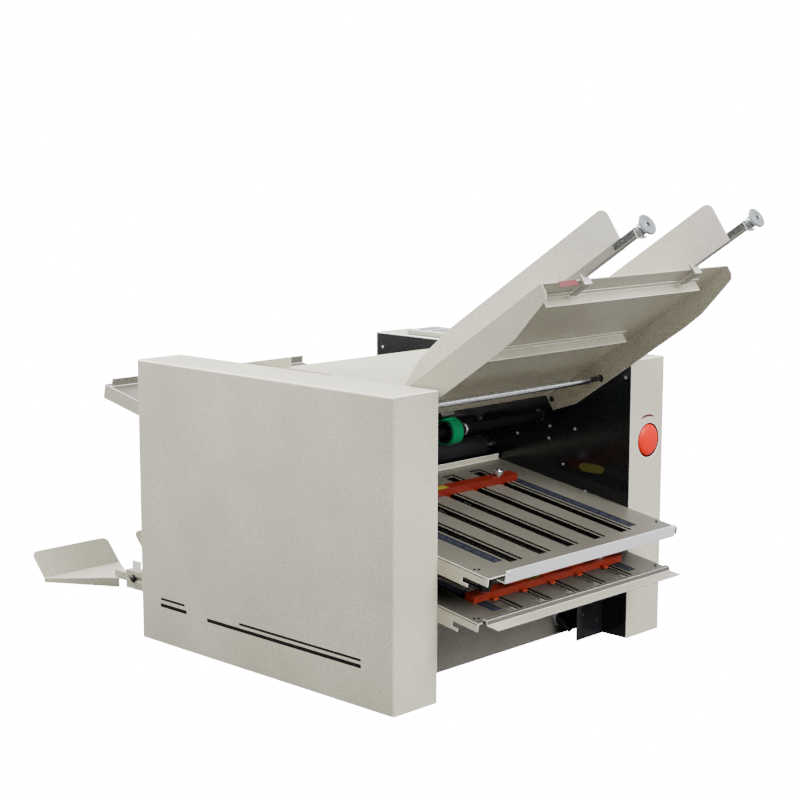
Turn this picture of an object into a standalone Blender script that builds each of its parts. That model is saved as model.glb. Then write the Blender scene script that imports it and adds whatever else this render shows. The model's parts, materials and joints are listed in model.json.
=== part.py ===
"""Desk paper folding machine with four buckle plates, built as separate pieces.

Metres, +Z up. X runs from the left cover to the right cover, and the feed
table leans out over the front, which is -Y. The origin is the middle of the
underside of the base pan, which is the surface that the machine stands on.
"""

import math

import bmesh
import bpy
from mathutils import Matrix

# Overall body
body_width = 0.550
body_depth = 0.500
body_height = 0.398
cover_width = 0.078
cover_sheet = 0.002
cover_corner_radius = 0.004
seat_gap = 0.0003
overrun = 0.004

# Side frames that carry every shaft
frame_thickness = 0.004
frame_foot_gap = 0.0005
bore_clearance = 0.0004

# Base pan
pan_sheet = 0.002
pan_front_y = -0.166
pan_rear_y = 0.240
pan_front_height = 0.112
pan_rear_height = 0.062
pan_side_gap = 0.0006

# Top cover between the side covers
top_cover_sheet = 0.0015
top_cover_front_y = -0.100
top_cover_front_drop = 0.0215
top_cover_fold_y = -0.060
top_cover_ridge_y = 0.025
top_cover_rear_y = 0.150
top_cover_rear_drop = 0.021
top_cover_side_gap = 0.0008
ear_height = 0.013
ear_inset = 0.006

# Fold rollers, numbered from the top, in two staggered columns
roller_count = 6
roller_radius = 0.017
roller_end_gap = 0.0205
journal_radius = 0.006
journal_reach = 0.005
first_roller_z = 0.2775
roller_pitch_z = 0.0305
rear_column_y = 0.028
front_column_y = 0.012

# Gears on the left ends of rollers two to six
gear_radius = 0.0168
gear_tooth_depth = 0.0022
gear_teeth = 18
gear_width = 0.008
gear_frame_gap = 0.003
tooth_tip_share = 0.22
tooth_root_share = 0.62

# Drive
motor_radius = 0.038
motor_length = 0.110
motor_x = -0.060
motor_y = -0.080
motor_z = 0.046
motor_foot_width = 0.060
motor_foot_length = 0.080
motor_shaft_radius = 0.005
motor_pulley_radius = 0.015
driven_pulley_radius = 0.026
pulley_width = 0.013
pulley_gap = 0.003
belt_thickness = 0.0022
belt_width = 0.010

# Feed roller beyond the low end of the table
feed_shaft_y = -0.085
feed_shaft_z = 0.3022
feed_roller_x = 0.0036
feed_roller_radius = 0.0183
feed_roller_length = 0.022

# Separator pad that lets one sheet at a time pass
separator_pad_width = 0.026
separator_pad_length = 0.024
separator_pad_thickness = 0.008
separator_stem_width = 0.016

# Front tie rod, on which the table hangs
tie_rod_radius = 0.005
tie_rod_along = -0.0098
tie_rod_below = 0.027

# Feed table, in its own tilted frame
table_pitch = math.radians(33.85)
table_low_y = -0.194
table_low_z = 0.397
table_side_gap = 0.0063
table_sheet = 0.0015
table_up_length = 0.254
table_down_length = 0.110
flange_depth = 0.037
flange_low_along = -0.067
flange_low_depth = 0.0256
flange_full_end = 0.150
flange_knee_along = 0.185
flange_knee_depth = 0.0349
flange_nose_along = 0.2365
flange_nose_depth = 0.0226
flange_tip_along = 0.250
flange_tip_depth = 0.019
flange_end_depth = 0.012
stiffener_leg = 0.014
stiffener_flange = 0.007
stiffener_end_gap = 0.034
stiffener_sheet = 0.0015
stiffener_places = {"upper": 0.2205, "lower": 0.081}

# Paper guides on the table
guide_x = 0.108
guide_height = 0.058
guide_sheet = 0.0015
guide_low_end = -0.085
guide_low_height = 0.034
guide_slant_along = -0.037
guide_slant_height = 0.051
guide_bend_along = 0.032
guide_high_end = 0.323
guide_corner_radius = 0.012
guide_bar_width = 0.010
guide_bar_height = 0.0105
guide_bar_low_end = -0.060
guide_bar_high_end = 0.351
clip_width = 0.012
clip_sheet = 0.0015
clip_depth = 0.008
clip_length = 0.026
thumbscrew_stem_radius = 0.004
thumbscrew_stem_length = 0.014
thumbscrew_disc_radius = 0.013
thumbscrew_disc_thickness = 0.0035

# Fold plates
plate_side_gap = 0.0008
plate_sheet = 0.0015
plate_throat = 0.005
plate_flange_depth = 0.022
plate_mouth_gap = 0.004
plate_floor_gap = 0.00045
plate_lip_height = 0.008
front_plate_pitch = math.atan(0.164)
rear_plate_pitch = math.atan(0.207)
upper_front_mouth_z = 0.2292
lower_front_mouth_z = 0.1671
upper_rear_mouth_z = 0.2573
lower_rear_mouth_z = 0.1963
upper_front_length = 0.329
lower_front_length = 0.313
upper_rear_length = 0.391
lower_rear_length = 0.293
slot_pairs = 5
slot_pitch = 0.0570
wide_slot_width = 0.015
narrow_slot_width = 0.0048
slot_land = 0.0046
slot_margin = 0.006
slot_margins = (slot_margin, 0.026)
lip_slot_end_margin = 0.0045
turned_slot_margin = 0.033
slot_turn_lead = 0.0085
slot_turn_width = 0.004
hook_length = 0.0314
hook_height = 0.011
hook_slot_length = 0.0098
hook_tongue = 0.004
end_wall_height = 0.012
end_wall_inset = 0.012

# Front bar of the upper front plate and lip of the lower one
front_bar_end_inset = 0.0195
front_bar_shift = 0.011
front_bar_above = 0.005
front_bar_height = 0.017
front_bar_leg = 0.014
front_bar_sheet = 0.0018
front_lip_length = 0.027
front_lip_drop = 0.001
front_lip_bead = 0.004
front_lip_bead_shares = (0.5, 1.5, 2)
front_lip_end_inset = 0.0065

# Paper stops that slide along the fold plates
stop_past_slots = {"upper_front": 0.0128, "lower_front": 0.0268, "upper_rear": 0.0268, "lower_rear": 0.0268}
stop_width = 0.016
stop_height = 0.010
stop_finger_width = 0.008
stop_finger_length = 0.012
stop_finger_clearance = 0.001
stop_places = {"upper_front": 0.078, "lower_front": 0.258, "upper_rear": 0.200, "lower_rear": 0.150}
stop_screw_stem_radius = 0.002
stop_screw_hole_clearance = 0.0004
metal_screw_from_edge = 0.093
metal_screw_radius = 0.007
metal_screw_height = 0.009
black_screw_from_edge = 0.0705
black_screw_radius = 0.009
black_screw_height = 0.014

# Corner bracket and cable gland at the front of the base
bracket_width = 0.0587
bracket_y = -0.208
bracket_height = 0.052
bracket_sheet = 0.002
gland_from_frame = 0.0543
gland_z = 0.026
gland_radius = 0.009
gland_length = 0.008
sleeve_radius = 0.004
sleeve_length = 0.026
sleeve_droop = math.radians(32)

# Emergency stop on the front of the right cover
stop_button_from_frame = 0.0423
stop_button_below_top = 0.117
stop_button_radius = 0.023
stop_button_rise = 0.0045
stop_button_depth = 0.016
stop_button_dome_shares = ((0.52, 0.88), (0.83, 0.60), (0.96, 0.30))
stop_hole_radius = 0.0245
stop_collar_radius = 0.0275
stop_collar_length = 0.012

# Control panel on the top of the right cover
panel_front_y = 0.020
panel_length = 0.170
panel_width = 0.062
panel_height = 0.008

# Delivery arms and wings behind the machine
left_arm_from_frame = 0.0643
right_arm_from_frame = 0.1293
arm_width = 0.016
arm_sheet = 0.0015
arm_bottom_z = 0.007
arm_height = 0.029
arm_end_y = 0.465
arm_foot_width = 0.034
arm_foot_height = 0.046
arm_slot_height = 0.0065
arm_slot_start_y = 0.405
arm_slot_end_y = 0.461
wing_half_width = 0.073
wing_offset_x = 0.0145
wing_wall_y = 0.571
wing_floor_z = 0.016
wing_floor_depth = 0.083
wing_nose_half_width = 0.009
wing_nose_offset_x = 0.005
wing_wall_length = 0.050
wing_recline = math.radians(43)
wing_corner_radius = 0.010
wing_sheet = 0.0015
wing_lip_at_wall = 0.006
wing_lip_at_nose = 0.014
tongue_width = 0.010
tongue_top_z = 0.029
tongue_start_y = 0.395
tongue_on_floor = 0.010
wing_screw_y = 0.446
wing_screw_z = 0.0242
wing_screw_stem_radius = 0.0025
wing_screw_head_radius = 0.0065
wing_screw_head_height = 0.006

# Smoothness of round pieces, and the shares that merging and sorting go by
roller_steps = 20
small_steps = 14
arc_steps = 4
sharp_angle = math.radians(35)
quarter_turn = math.radians(90)
weld_share = 0.001
facing_share = 0.9
round_share = 0.5

# Derived places
cover_inner_x = body_width / 2 - cover_width
frame_inner_x = cover_inner_x + seat_gap
frame_outer_x = frame_inner_x + frame_thickness
front_y = -body_depth / 2
front_mouth_y = front_column_y - roller_radius - plate_mouth_gap
rear_mouth_y = rear_column_y + roller_radius + plate_mouth_gap
roller_length = 2 * (frame_inner_x - roller_end_gap)
table_half_width = frame_inner_x - table_side_gap
plate_half_width = frame_inner_x - plate_side_gap
front_bar_half_length = plate_half_width - front_bar_end_inset
front_lip_half_width = plate_half_width - front_lip_end_inset
metal_screw_x = plate_half_width - metal_screw_from_edge
black_screw_x = black_screw_from_edge - plate_half_width
stop_screws = {
    "upper_front": (metal_screw_x, metal_screw_radius, metal_screw_height),
    "lower_front": (black_screw_x, black_screw_radius, black_screw_height),
    "upper_rear": (metal_screw_x, metal_screw_radius, metal_screw_height),
}
gland_x = frame_inner_x - gland_from_frame
stop_button_x = frame_inner_x + stop_button_from_frame
stop_button_z = body_height - stop_button_below_top
panel_x = cover_inner_x + cover_width / 2
left_arm_x = left_arm_from_frame - frame_inner_x
right_arm_x = frame_inner_x - right_arm_from_frame
gear_x = -(frame_outer_x + gear_frame_gap + gear_width / 2)
pulley_x = gear_x - gear_width / 2 - pulley_gap - pulley_width / 2
table_frame_matrix = (
    Matrix.Translation((0, table_low_y, table_low_z)) @ Matrix.Rotation(-table_pitch, 4, "X")
)

# The outline's x and y become world Y and Z, and its thickness runs along X
SIDE_VIEW = Matrix(((0, 0, 1, 0), (1, 0, 0, 0), (0, 1, 0, 0), (0, 0, 0, 1)))
# The outline's x and y become world X and Z, and its thickness runs along Y
FRONT_VIEW = Matrix.Rotation(quarter_turn, 4, "X")
ALONG_X = Matrix.Rotation(quarter_turn, 4, "Y")
ALONG_Y = Matrix.Rotation(-quarter_turn, 4, "X")

for old in list(bpy.data.objects):
    bpy.data.objects.remove(old)

machine = bpy.data.collections.new("paper_folding_machine")
cutters = bpy.data.collections.new("cutters")
bpy.context.scene.collection.children.link(machine)
bpy.context.scene.collection.children.link(cutters)


def material(name, colour, roughness, metallic):
    made = bpy.data.materials.new(name)
    made.use_nodes = True
    shader = made.node_tree.nodes["Principled BSDF"]
    shader.inputs["Base Color"].default_value = (*colour, 1)
    shader.inputs["Roughness"].default_value = roughness
    shader.inputs["Metallic"].default_value = metallic
    return made


paint = material("speckled_grey_paint", (0.56, 0.54, 0.48), 0.5, 0)
dark_steel = material("dark_steel", (0.03, 0.03, 0.035), 0.3, 0.6)
base_grey = material("base_grey_paint", (0.15, 0.14, 0.12), 0.5, 0)
bright_steel = material("bright_steel", (0.6, 0.6, 0.6), 0.2, 1)
zinc = material("zinc", (0.55, 0.58, 0.6), 0.3, 1)
aluminium = material("satin_aluminium", (0.7, 0.7, 0.72), 0.3, 1)
black_rubber = material("black_rubber", (0.02, 0.02, 0.022), 0.7, 0)
green_rubber = material("green_rubber", (0.01, 0.25, 0.09), 0.5, 0)
black_plastic = material("black_plastic", (0.02, 0.02, 0.02), 0.4, 0)
orange_red = material("orange_red_paint", (0.5, 0.07, 0.03), 0.4, 0)
stop_red = material("stop_red_plastic", (0.8, 0.08, 0.03), 0.35, 0)


def place(name, mesh, surface, matrix=Matrix.Identity(4), parent=None):
    mesh.materials.append(surface)
    made = bpy.data.objects.new(name, mesh)
    machine.objects.link(made)
    made.parent = parent
    made.matrix_basis = matrix
    return made


def frame_empty(name, matrix):
    made = bpy.data.objects.new(name, None)
    machine.objects.link(made)
    made.matrix_basis = matrix
    return made


def mesh_of(name, shape):
    mesh = bpy.data.meshes.new(name)
    shape.to_mesh(mesh)
    shape.free()
    return mesh


def box_shape(low, high, shape=None):
    """A box between two corners, added to the shape that is given."""
    made = shape or bmesh.new()
    size = [high[i] - low[i] for i in range(3)]
    middle = [(high[i] + low[i]) / 2 for i in range(3)]
    matrix = Matrix.Translation(middle) @ Matrix.Diagonal((*size, 1))
    bmesh.ops.create_cube(made, size=1, matrix=matrix)
    return made


def box_mesh(name, low, high):
    return mesh_of(name, box_shape(low, high))


def cylinder_mesh(name, radius, length, steps, matrix=Matrix.Identity(4)):
    """A cylinder from the origin of the matrix along its Z."""
    shape = bmesh.new()
    bmesh.ops.create_cone(
        shape,
        cap_ends=True,
        segments=steps,
        radius1=radius,
        radius2=radius,
        depth=length,
        matrix=matrix @ Matrix.Translation((0, 0, length / 2)),
    )
    return mesh_of(name, shape)


def smooth(made):
    made.data.shade_smooth()
    made.data.set_sharp_from_angle(angle=sharp_angle)


def cutter(name, mesh, matrix=Matrix.Identity(4), parent=None):
    made = bpy.data.objects.new(name, mesh)
    cutters.objects.link(made)
    made.parent = parent
    made.matrix_basis = matrix
    made.hide_render = True
    made.display_type = "WIRE"
    return made


def boolean(made, other, operation):
    step = made.modifiers.new(operation.lower(), "BOOLEAN")
    step.operation = operation
    step.object = other
    step.solver = "EXACT"


def cut(made, mesh, matrix=Matrix.Identity(4), parent=None):
    boolean(made, cutter(f"{made.name}_cut_{len(made.modifiers)}", mesh, matrix, parent), "DIFFERENCE")


def join(made, mesh, matrix=Matrix.Identity(4), parent=None):
    boolean(made, cutter(f"{made.name}_join_{len(made.modifiers)}", mesh, matrix, parent), "UNION")


def circle_points(radius, steps, centre=(0, 0)):
    return [
        (
            centre[0] + radius * math.cos(2 * math.pi * i / steps),
            centre[1] + radius * math.sin(2 * math.pi * i / steps),
        )
        for i in range(steps)
    ]


def corner_arc(corner, radius, start, turn=math.pi / 2, steps=arc_steps):
    """Points of a rounded corner: the corner's circle centre, its radius and its first angle."""
    return [
        (
            corner[0] + radius * math.cos(start + turn * i / steps),
            corner[1] + radius * math.sin(start + turn * i / steps),
        )
        for i in range(steps + 1)
    ]


def outline_mesh(name, outline, thickness, holes=()):
    """A flat outline with holes, centred on its thickness, as a closed mesh."""
    curve = bpy.data.curves.new(name, "CURVE")
    curve.dimensions = "2D"
    curve.fill_mode = "BOTH"
    curve.extrude = thickness / 2
    for points in (outline, *holes):
        spline = curve.splines.new("POLY")
        spline.points.add(len(points) - 1)
        spline.use_cyclic_u = True
        for point, (across, up) in zip(spline.points, points):
            point.co = (across, up, 0, 1)
    guide = bpy.data.objects.new(name, curve)
    machine.objects.link(guide)
    graph = bpy.context.evaluated_depsgraph_get()
    mesh = bpy.data.meshes.new_from_object(guide.evaluated_get(graph))
    bpy.data.objects.remove(guide)
    bpy.data.curves.remove(curve)
    shape = bmesh.new()
    shape.from_mesh(mesh)
    bmesh.ops.remove_doubles(shape, verts=shape.verts, dist=thickness * weld_share)
    bmesh.ops.recalc_face_normals(shape, faces=shape.faces)
    bpy.data.meshes.remove(mesh)
    return mesh_of(name, shape)


def turned_mesh(name, profile):
    """An open profile of radius and height, from the top of the piece to its bottom."""
    mesh = bpy.data.meshes.new(name)
    mesh.from_pydata(
        [(radius, 0, height) for radius, height in profile],
        [(i, i + 1) for i in range(len(profile) - 1)],
        [],
    )
    return mesh


def turn(made, steps):
    screw = made.modifiers.new("turn", "SCREW")
    screw.steps = steps
    screw.render_steps = steps
    screw.use_merge_vertices = True
    screw.merge_threshold = seat_gap * weld_share
    screw.use_smooth_shade = True
    return made


def swept_sheet_mesh(name, section, start, end):
    """A folded sheet: its section in X and Z, swept along Y, as an open surface."""
    shape = bmesh.new()
    near = [shape.verts.new((across, start, up)) for across, up in section]
    far = [shape.verts.new((across, end, up)) for across, up in section]
    for i in range(len(section) - 1):
        shape.faces.new((near[i], near[i + 1], far[i + 1], far[i]))
    return mesh_of(name, shape)


def cross_sheet_mesh(name, profile, half_width):
    """A folded sheet: its profile in Y and Z, swept along X, as an open surface."""
    shape = bmesh.new()
    left = [shape.verts.new((-half_width, along, up)) for along, up in profile]
    right = [shape.verts.new((half_width, along, up)) for along, up in profile]
    for i in range(len(profile) - 1):
        shape.faces.new((left[i], right[i], right[i + 1], left[i + 1]))
    return mesh_of(name, shape)


def thicken(made, thickness, side=-1):
    step = made.modifiers.new("thicken", "SOLIDIFY")
    step.thickness = thickness
    step.offset = side
    step.use_even_offset = True
    return made


def solid_sheet_mesh(name, mesh, thickness, side=-1):
    """The closed mesh of a folded sheet, for joining to another piece."""
    guide = bpy.data.objects.new(name, mesh)
    machine.objects.link(guide)
    thicken(guide, thickness, side)
    graph = bpy.context.evaluated_depsgraph_get()
    made = bpy.data.meshes.new_from_object(guide.evaluated_get(graph))
    bpy.data.objects.remove(guide)
    return made


def roller_place(number):
    """Y and Z of a fold roller's axis, counted from one at the top."""
    column = rear_column_y if number % 2 else front_column_y
    return column, first_roller_z - (number - 1) * roller_pitch_z


def add_side_cover(side):
    """A folded sheet box, open towards the frame and underneath."""
    name = "left_cover" if side < 0 else "right_cover"
    low = (min(side * cover_inner_x, side * body_width / 2), front_y, 0)
    high = (max(side * cover_inner_x, side * body_width / 2), -front_y, body_height)
    shape = box_shape(low, high)
    outer_x = side * body_width / 2
    rounded = [
        edge
        for edge in shape.edges
        if all(abs(vert.co.x - outer_x) < overrun for vert in edge.verts)
        and sum(vert.co.z > body_height / 2 for vert in edge.verts) > 0
    ]
    bmesh.ops.bevel(
        shape,
        geom=rounded,
        offset=cover_corner_radius,
        segments=arc_steps - 1,
        profile=round_share,
        affect="EDGES",
    )
    opened = [
        face
        for face in shape.faces
        if face.normal.z < -facing_share or face.normal.x * side < -facing_share
    ]
    bmesh.ops.delete(shape, geom=opened, context="FACES")
    thicken(place(name, mesh_of(name, shape), paint), cover_sheet)


def add_side_frame(side):
    """A steel plate with a bore for every shaft that it carries."""
    name = "left_side_frame" if side < 0 else "right_side_frame"
    reach = body_depth / 2 - cover_sheet - seat_gap
    top = body_height - cover_sheet - seat_gap
    outline = [
        (-reach, frame_foot_gap),
        (reach, frame_foot_gap),
        (reach, top),
        (-reach, top),
    ]
    bores = [(roller_place(number), journal_radius) for number in range(1, roller_count + 1)]
    bores.append(((feed_shaft_y, feed_shaft_z), journal_radius))
    if side < 0:
        bores.append(((motor_y, motor_z), motor_shaft_radius))
    holes = [
        circle_points(radius + bore_clearance, small_steps, centre) for centre, radius in bores
    ]
    middle = side * (frame_inner_x + frame_outer_x) / 2
    mesh = outline_mesh(name, outline, frame_thickness, holes)
    place(name, mesh, dark_steel, Matrix.Translation((middle, 0, 0)) @ SIDE_VIEW)


def add_base_pan():
    """The folded pan that everything stands on."""
    profile = [
        (pan_front_y, pan_front_height),
        (pan_front_y, 0),
        (pan_rear_y, 0),
        (pan_rear_y, pan_rear_height),
    ]
    mesh = cross_sheet_mesh("base_pan", profile, frame_inner_x - pan_side_gap)
    pan = thicken(place("base_pan", mesh, base_grey), pan_sheet, 1)
    hole = cylinder_mesh(
        "gland_hole",
        sleeve_radius,
        pan_sheet + 2 * overrun,
        small_steps,
        Matrix.Translation((gland_x, pan_front_y - overrun, gland_z)) @ ALONG_Y,
    )
    cut(pan, hole)


def add_top_cover():
    """The folded sheet over the fold rollers, with an upturned ear along its left."""
    top = body_height + top_cover_sheet
    half = cover_inner_x - top_cover_side_gap
    profile = [
        (top_cover_front_y, top - top_cover_front_drop),
        (top_cover_fold_y, top),
        (top_cover_ridge_y, top),
        (top_cover_rear_y, top - top_cover_rear_drop),
    ]
    mesh = cross_sheet_mesh("top_cover", profile, half)
    cover = thicken(place("top_cover", mesh, paint), top_cover_sheet)
    low = top - top_cover_rear_drop - top_cover_sheet / 2
    ear = [
        (top_cover_ridge_y, top - top_cover_sheet / 2),
        (top_cover_ridge_y, top + ear_height),
        (top_cover_rear_y, low + ear_height),
        (top_cover_rear_y, low),
    ]
    ear_mesh = outline_mesh("top_cover_ear", ear, top_cover_sheet)
    join(cover, ear_mesh, Matrix.Translation((ear_inset - half, 0, 0)) @ SIDE_VIEW)


def add_fold_rollers():
    """Rubber covered rollers whose journals turn in the side frames; the last ends in the belt's pulley."""
    left = -(frame_outer_x + gear_frame_gap + gear_width + pulley_gap / 2)
    right = frame_outer_x + journal_reach
    for number in range(1, roller_count + 1):
        y, z = roller_place(number)
        start = -(frame_outer_x + journal_reach) if number == 1 else left
        profile = [
            (0, right),
            (journal_radius, right),
            (journal_radius, roller_length / 2),
            (roller_radius, roller_length / 2),
            (roller_radius, -roller_length / 2),
            (journal_radius, -roller_length / 2),
        ]
        if number == roller_count:
            start = pulley_x - pulley_width / 2
            profile += [
                (journal_radius, start + pulley_width),
                (driven_pulley_radius, start + pulley_width),
                (driven_pulley_radius, start),
                (0, start),
            ]
        else:
            profile += [(journal_radius, start), (0, start)]
        name = f"fold_roller_{number}"
        turn(
            place(name, turned_mesh(name, profile), black_rubber, Matrix.Translation((0, y, z)) @ ALONG_X),
            roller_steps,
        )


def gear_outline():
    points = []
    step = 2 * math.pi / gear_teeth
    root = gear_radius - gear_tooth_depth
    for tooth in range(gear_teeth):
        middle = tooth * step
        for share, radius in (
            (-tooth_root_share, root),
            (-tooth_tip_share, gear_radius),
            (tooth_tip_share, gear_radius),
            (tooth_root_share, root),
        ):
            angle = middle + share * step / 2
            points.append((radius * math.cos(angle), radius * math.sin(angle)))
    return points


def add_gears():
    """Plain spur gears that couple the driven rollers, with running clearance between them."""
    bore = circle_points(journal_radius + seat_gap, small_steps)
    for number in range(2, roller_count + 1):
        y, z = roller_place(number)
        name = f"roller_gear_{number}"
        mesh = outline_mesh(name, gear_outline(), gear_width, [bore])
        place(name, mesh, bright_steel, Matrix.Translation((gear_x, y, z)) @ SIDE_VIEW)


def add_drive():
    """Motor in the base, its pulley, and the belt up to the last roller."""
    y, z = roller_place(roller_count)
    left = motor_x - motor_length / 2
    body = cylinder_mesh(
        "drive_motor",
        motor_radius,
        motor_length,
        roller_steps,
        Matrix.Translation((left, motor_y, motor_z)) @ ALONG_X,
    )
    motor = place("drive_motor", body, dark_steel)
    foot_low = (motor_x - motor_foot_length / 2, motor_y - motor_foot_width / 2, pan_sheet + seat_gap)
    foot_high = (motor_x + motor_foot_length / 2, motor_y + motor_foot_width / 2, motor_z)
    join(motor, box_mesh("motor_foot", foot_low, foot_high))
    shaft_end = pulley_x - pulley_width / 2
    shaft = cylinder_mesh(
        "motor_shaft",
        motor_shaft_radius,
        left - shaft_end + overrun,
        small_steps,
        Matrix.Translation((shaft_end, motor_y, motor_z)) @ ALONG_X,
    )
    join(motor, shaft)
    bore = circle_points(motor_shaft_radius + seat_gap, small_steps)
    rim = circle_points(motor_pulley_radius, roller_steps)
    pulley = outline_mesh("motor_pulley", rim, pulley_width, [bore])
    place("motor_pulley", pulley, bright_steel, Matrix.Translation((pulley_x, motor_y, motor_z)) @ SIDE_VIEW)
    add_belt(y, z)


def belt_loop(driven, offset):
    """The tangent loop round both pulleys, in Y and Z, this far out from their rims."""
    first = (motor_y, motor_z)
    span = math.dist(first, driven)
    lean = math.atan2(driven[1] - first[1], driven[0] - first[0])
    wrap = math.acos((motor_pulley_radius - driven_pulley_radius) / span)
    steps = roller_steps // 2
    small = outer_arc(first, motor_pulley_radius + offset, lean + wrap, 2 * (math.pi - wrap), steps)
    large = outer_arc(driven, driven_pulley_radius + offset, lean - wrap, 2 * wrap, steps)
    return small + large


def outer_arc(centre, radius, start, turn_angle, steps):
    """An arc whose straight sides stay outside of the radius."""
    return corner_arc(centre, radius / math.cos(turn_angle / steps / 2), start, turn_angle, steps)


def add_belt(y, z):
    inner = belt_loop((y, z), seat_gap)
    outer = belt_loop((y, z), seat_gap + belt_thickness)
    mesh = outline_mesh("drive_belt", outer, belt_width, [inner])
    place("drive_belt", mesh, black_rubber, Matrix.Translation((pulley_x, 0, 0)) @ SIDE_VIEW)


def add_feed_roller():
    """The rubber roller that pulls the lowest sheet off the stack, on its own shaft."""
    reach = frame_outer_x + journal_reach
    axis = Matrix.Translation((0, feed_shaft_y, feed_shaft_z))
    profile = [(0, reach), (journal_radius, reach), (journal_radius, -reach), (0, -reach)]
    shaft = place("feed_shaft", turned_mesh("feed_shaft", profile), bright_steel, axis @ ALONG_X)
    turn(shaft, roller_steps)
    bore = circle_points(journal_radius + seat_gap, roller_steps)
    rim = circle_points(feed_roller_radius, roller_steps)
    mesh = outline_mesh("feed_roller", rim, feed_roller_length, [bore])
    aside = Matrix.Translation((feed_roller_x, 0, 0))
    smooth(place("feed_roller", mesh, green_rubber, aside @ axis @ SIDE_VIEW))


def add_separator_pad():
    """The pad that rests over the feed roller, with the stem that holds it under the top cover."""
    feed_place = Matrix.Translation((feed_roller_x, feed_shaft_y, feed_shaft_z))
    tilt = feed_place @ Matrix.Rotation(-table_pitch, 4, "X")
    bottom = feed_roller_radius + seat_gap
    half_width = separator_pad_width / 2
    half_length = separator_pad_length / 2
    mesh = box_mesh(
        "separator_pad",
        (-half_width, -half_length, bottom),
        (half_width, half_length, bottom + separator_pad_thickness),
    )
    pad = place("separator_pad", mesh, black_rubber, tilt)
    centre = tilt @ Matrix.Translation((0, 0, bottom + separator_pad_thickness / 2))
    stem_y = centre.translation.y
    stem_half = separator_stem_width / 2
    stem = box_mesh(
        "separator_stem",
        (feed_roller_x - stem_half, stem_y - stem_half / 2, centre.translation.z),
        (feed_roller_x + stem_half, stem_y + stem_half / 2, top_cover_under_z(stem_y - stem_half / 2) - seat_gap),
    )
    join(pad, stem)


def top_cover_under_z(y):
    """Underside of the top cover at its front slope or its flat part."""
    top = body_height
    slope = top_cover_front_drop / (top_cover_fold_y - top_cover_front_y)
    pull = top_cover_sheet * (math.hypot(1, slope) - 1)
    return min(top, top - pull - slope * (top_cover_fold_y - y) if y < top_cover_fold_y else top)


def add_table(table):
    """The feed table: a deck with two flanges folded down, which hangs on the tie rod."""
    half = table_half_width - table_sheet
    section = [
        (-half, -flange_depth),
        (-half, -table_sheet),
        (half, -table_sheet),
        (half, -flange_depth),
    ]
    mesh = swept_sheet_mesh("feed_table", section, -table_up_length, table_down_length)
    made = thicken(place("feed_table", mesh, paint, parent=table), table_sheet, 1)
    below = -flange_depth - overrun
    past = -table_up_length - overrun
    waste = [
        (past, below),
        (-flange_full_end, below),
        (-flange_full_end, -flange_depth),
        (-flange_knee_along, -flange_knee_depth),
        (-flange_nose_along, -flange_nose_depth),
        (-flange_tip_along, -flange_tip_depth),
        (-table_up_length, -flange_end_depth),
        (past, -flange_end_depth),
    ]
    wide = 2 * (table_half_width + overrun)
    cut(made, outline_mesh("flange_waste", waste, wide), SIDE_VIEW, table)
    past_low = table_down_length + overrun
    low_waste = [
        (-flange_low_along, below),
        (past_low, below),
        (past_low, -flange_low_depth),
        (table_down_length, -flange_low_depth),
        (-flange_low_along, -flange_depth),
    ]
    cut(made, outline_mesh("flange_low_waste", low_waste, wide), SIDE_VIEW, table)
    hole = cylinder_mesh("tie_rod_hole", tie_rod_radius + seat_gap, wide, small_steps, ALONG_X)
    across = Matrix.Translation((-wide / 2, -tie_rod_along, -tie_rod_below))
    cut(made, hole, across, table)
    for which, along in stiffener_places.items():
        add_stiffener(table, f"table_stiffener_{which}", along)


def add_stiffener(table, name, along):
    """An angle welded under the deck."""
    top = -table_sheet - seat_gap
    profile = [
        (-along - stiffener_flange, top - stiffener_sheet),
        (-along, top - stiffener_sheet),
        (-along, top - stiffener_leg),
    ]
    mesh = cross_sheet_mesh(name, profile, table_half_width - stiffener_end_gap)
    thicken(place(name, mesh, paint, parent=table), stiffener_sheet, 1)


def add_tie_rod(table):
    reach = frame_inner_x - seat_gap
    profile = [(0, reach), (tie_rod_radius, reach), (tie_rod_radius, -reach), (0, -reach)]
    matrix = Matrix.Translation((0, -tie_rod_along, -tie_rod_below)) @ ALONG_X
    rod = place("front_tie_rod", turned_mesh("front_tie_rod", profile), bright_steel, matrix, table)
    turn(rod, small_steps)


def guide_outline():
    """The tall sheet of a paper guide, in the table's frame: along the slope and up."""
    corner = (-guide_high_end + guide_corner_radius, guide_height - guide_corner_radius)
    return [
        (-guide_low_end, seat_gap),
        (-guide_low_end, guide_low_height),
        (-guide_slant_along, guide_slant_height),
        (-guide_bend_along, guide_height),
        *corner_arc(corner, guide_corner_radius, math.pi / 2),
        (-guide_high_end, seat_gap),
    ]


def add_guide(table, side):
    """A paper guide: tall sheet, base bar and the clip that hooks under the deck's end."""
    name = "left_paper_guide" if side < 0 else "right_paper_guide"
    mesh = outline_mesh(name, guide_outline(), guide_sheet)
    matrix = Matrix.Translation((side * guide_x, 0, 0)) @ SIDE_VIEW
    made = place(name, mesh, paint, matrix, table)
    inner = side * guide_x
    outer = side * (guide_x + guide_bar_width)
    bar_low = (min(inner, outer), -guide_bar_high_end, seat_gap)
    bar_high = (max(inner, outer), -guide_bar_low_end, guide_bar_height)
    join(made, box_mesh("guide_bar", bar_low, bar_high), parent=table)
    join(made, clip_mesh(), Matrix.Translation(((inner + outer) / 2, 0, 0)), table)
    middle = Matrix.Translation(((inner + outer) / 2, -guide_bar_high_end - seat_gap, guide_bar_height / 2))
    add_thumbscrew(table, name.replace("paper_guide", "guide_thumbscrew"), middle)


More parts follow.
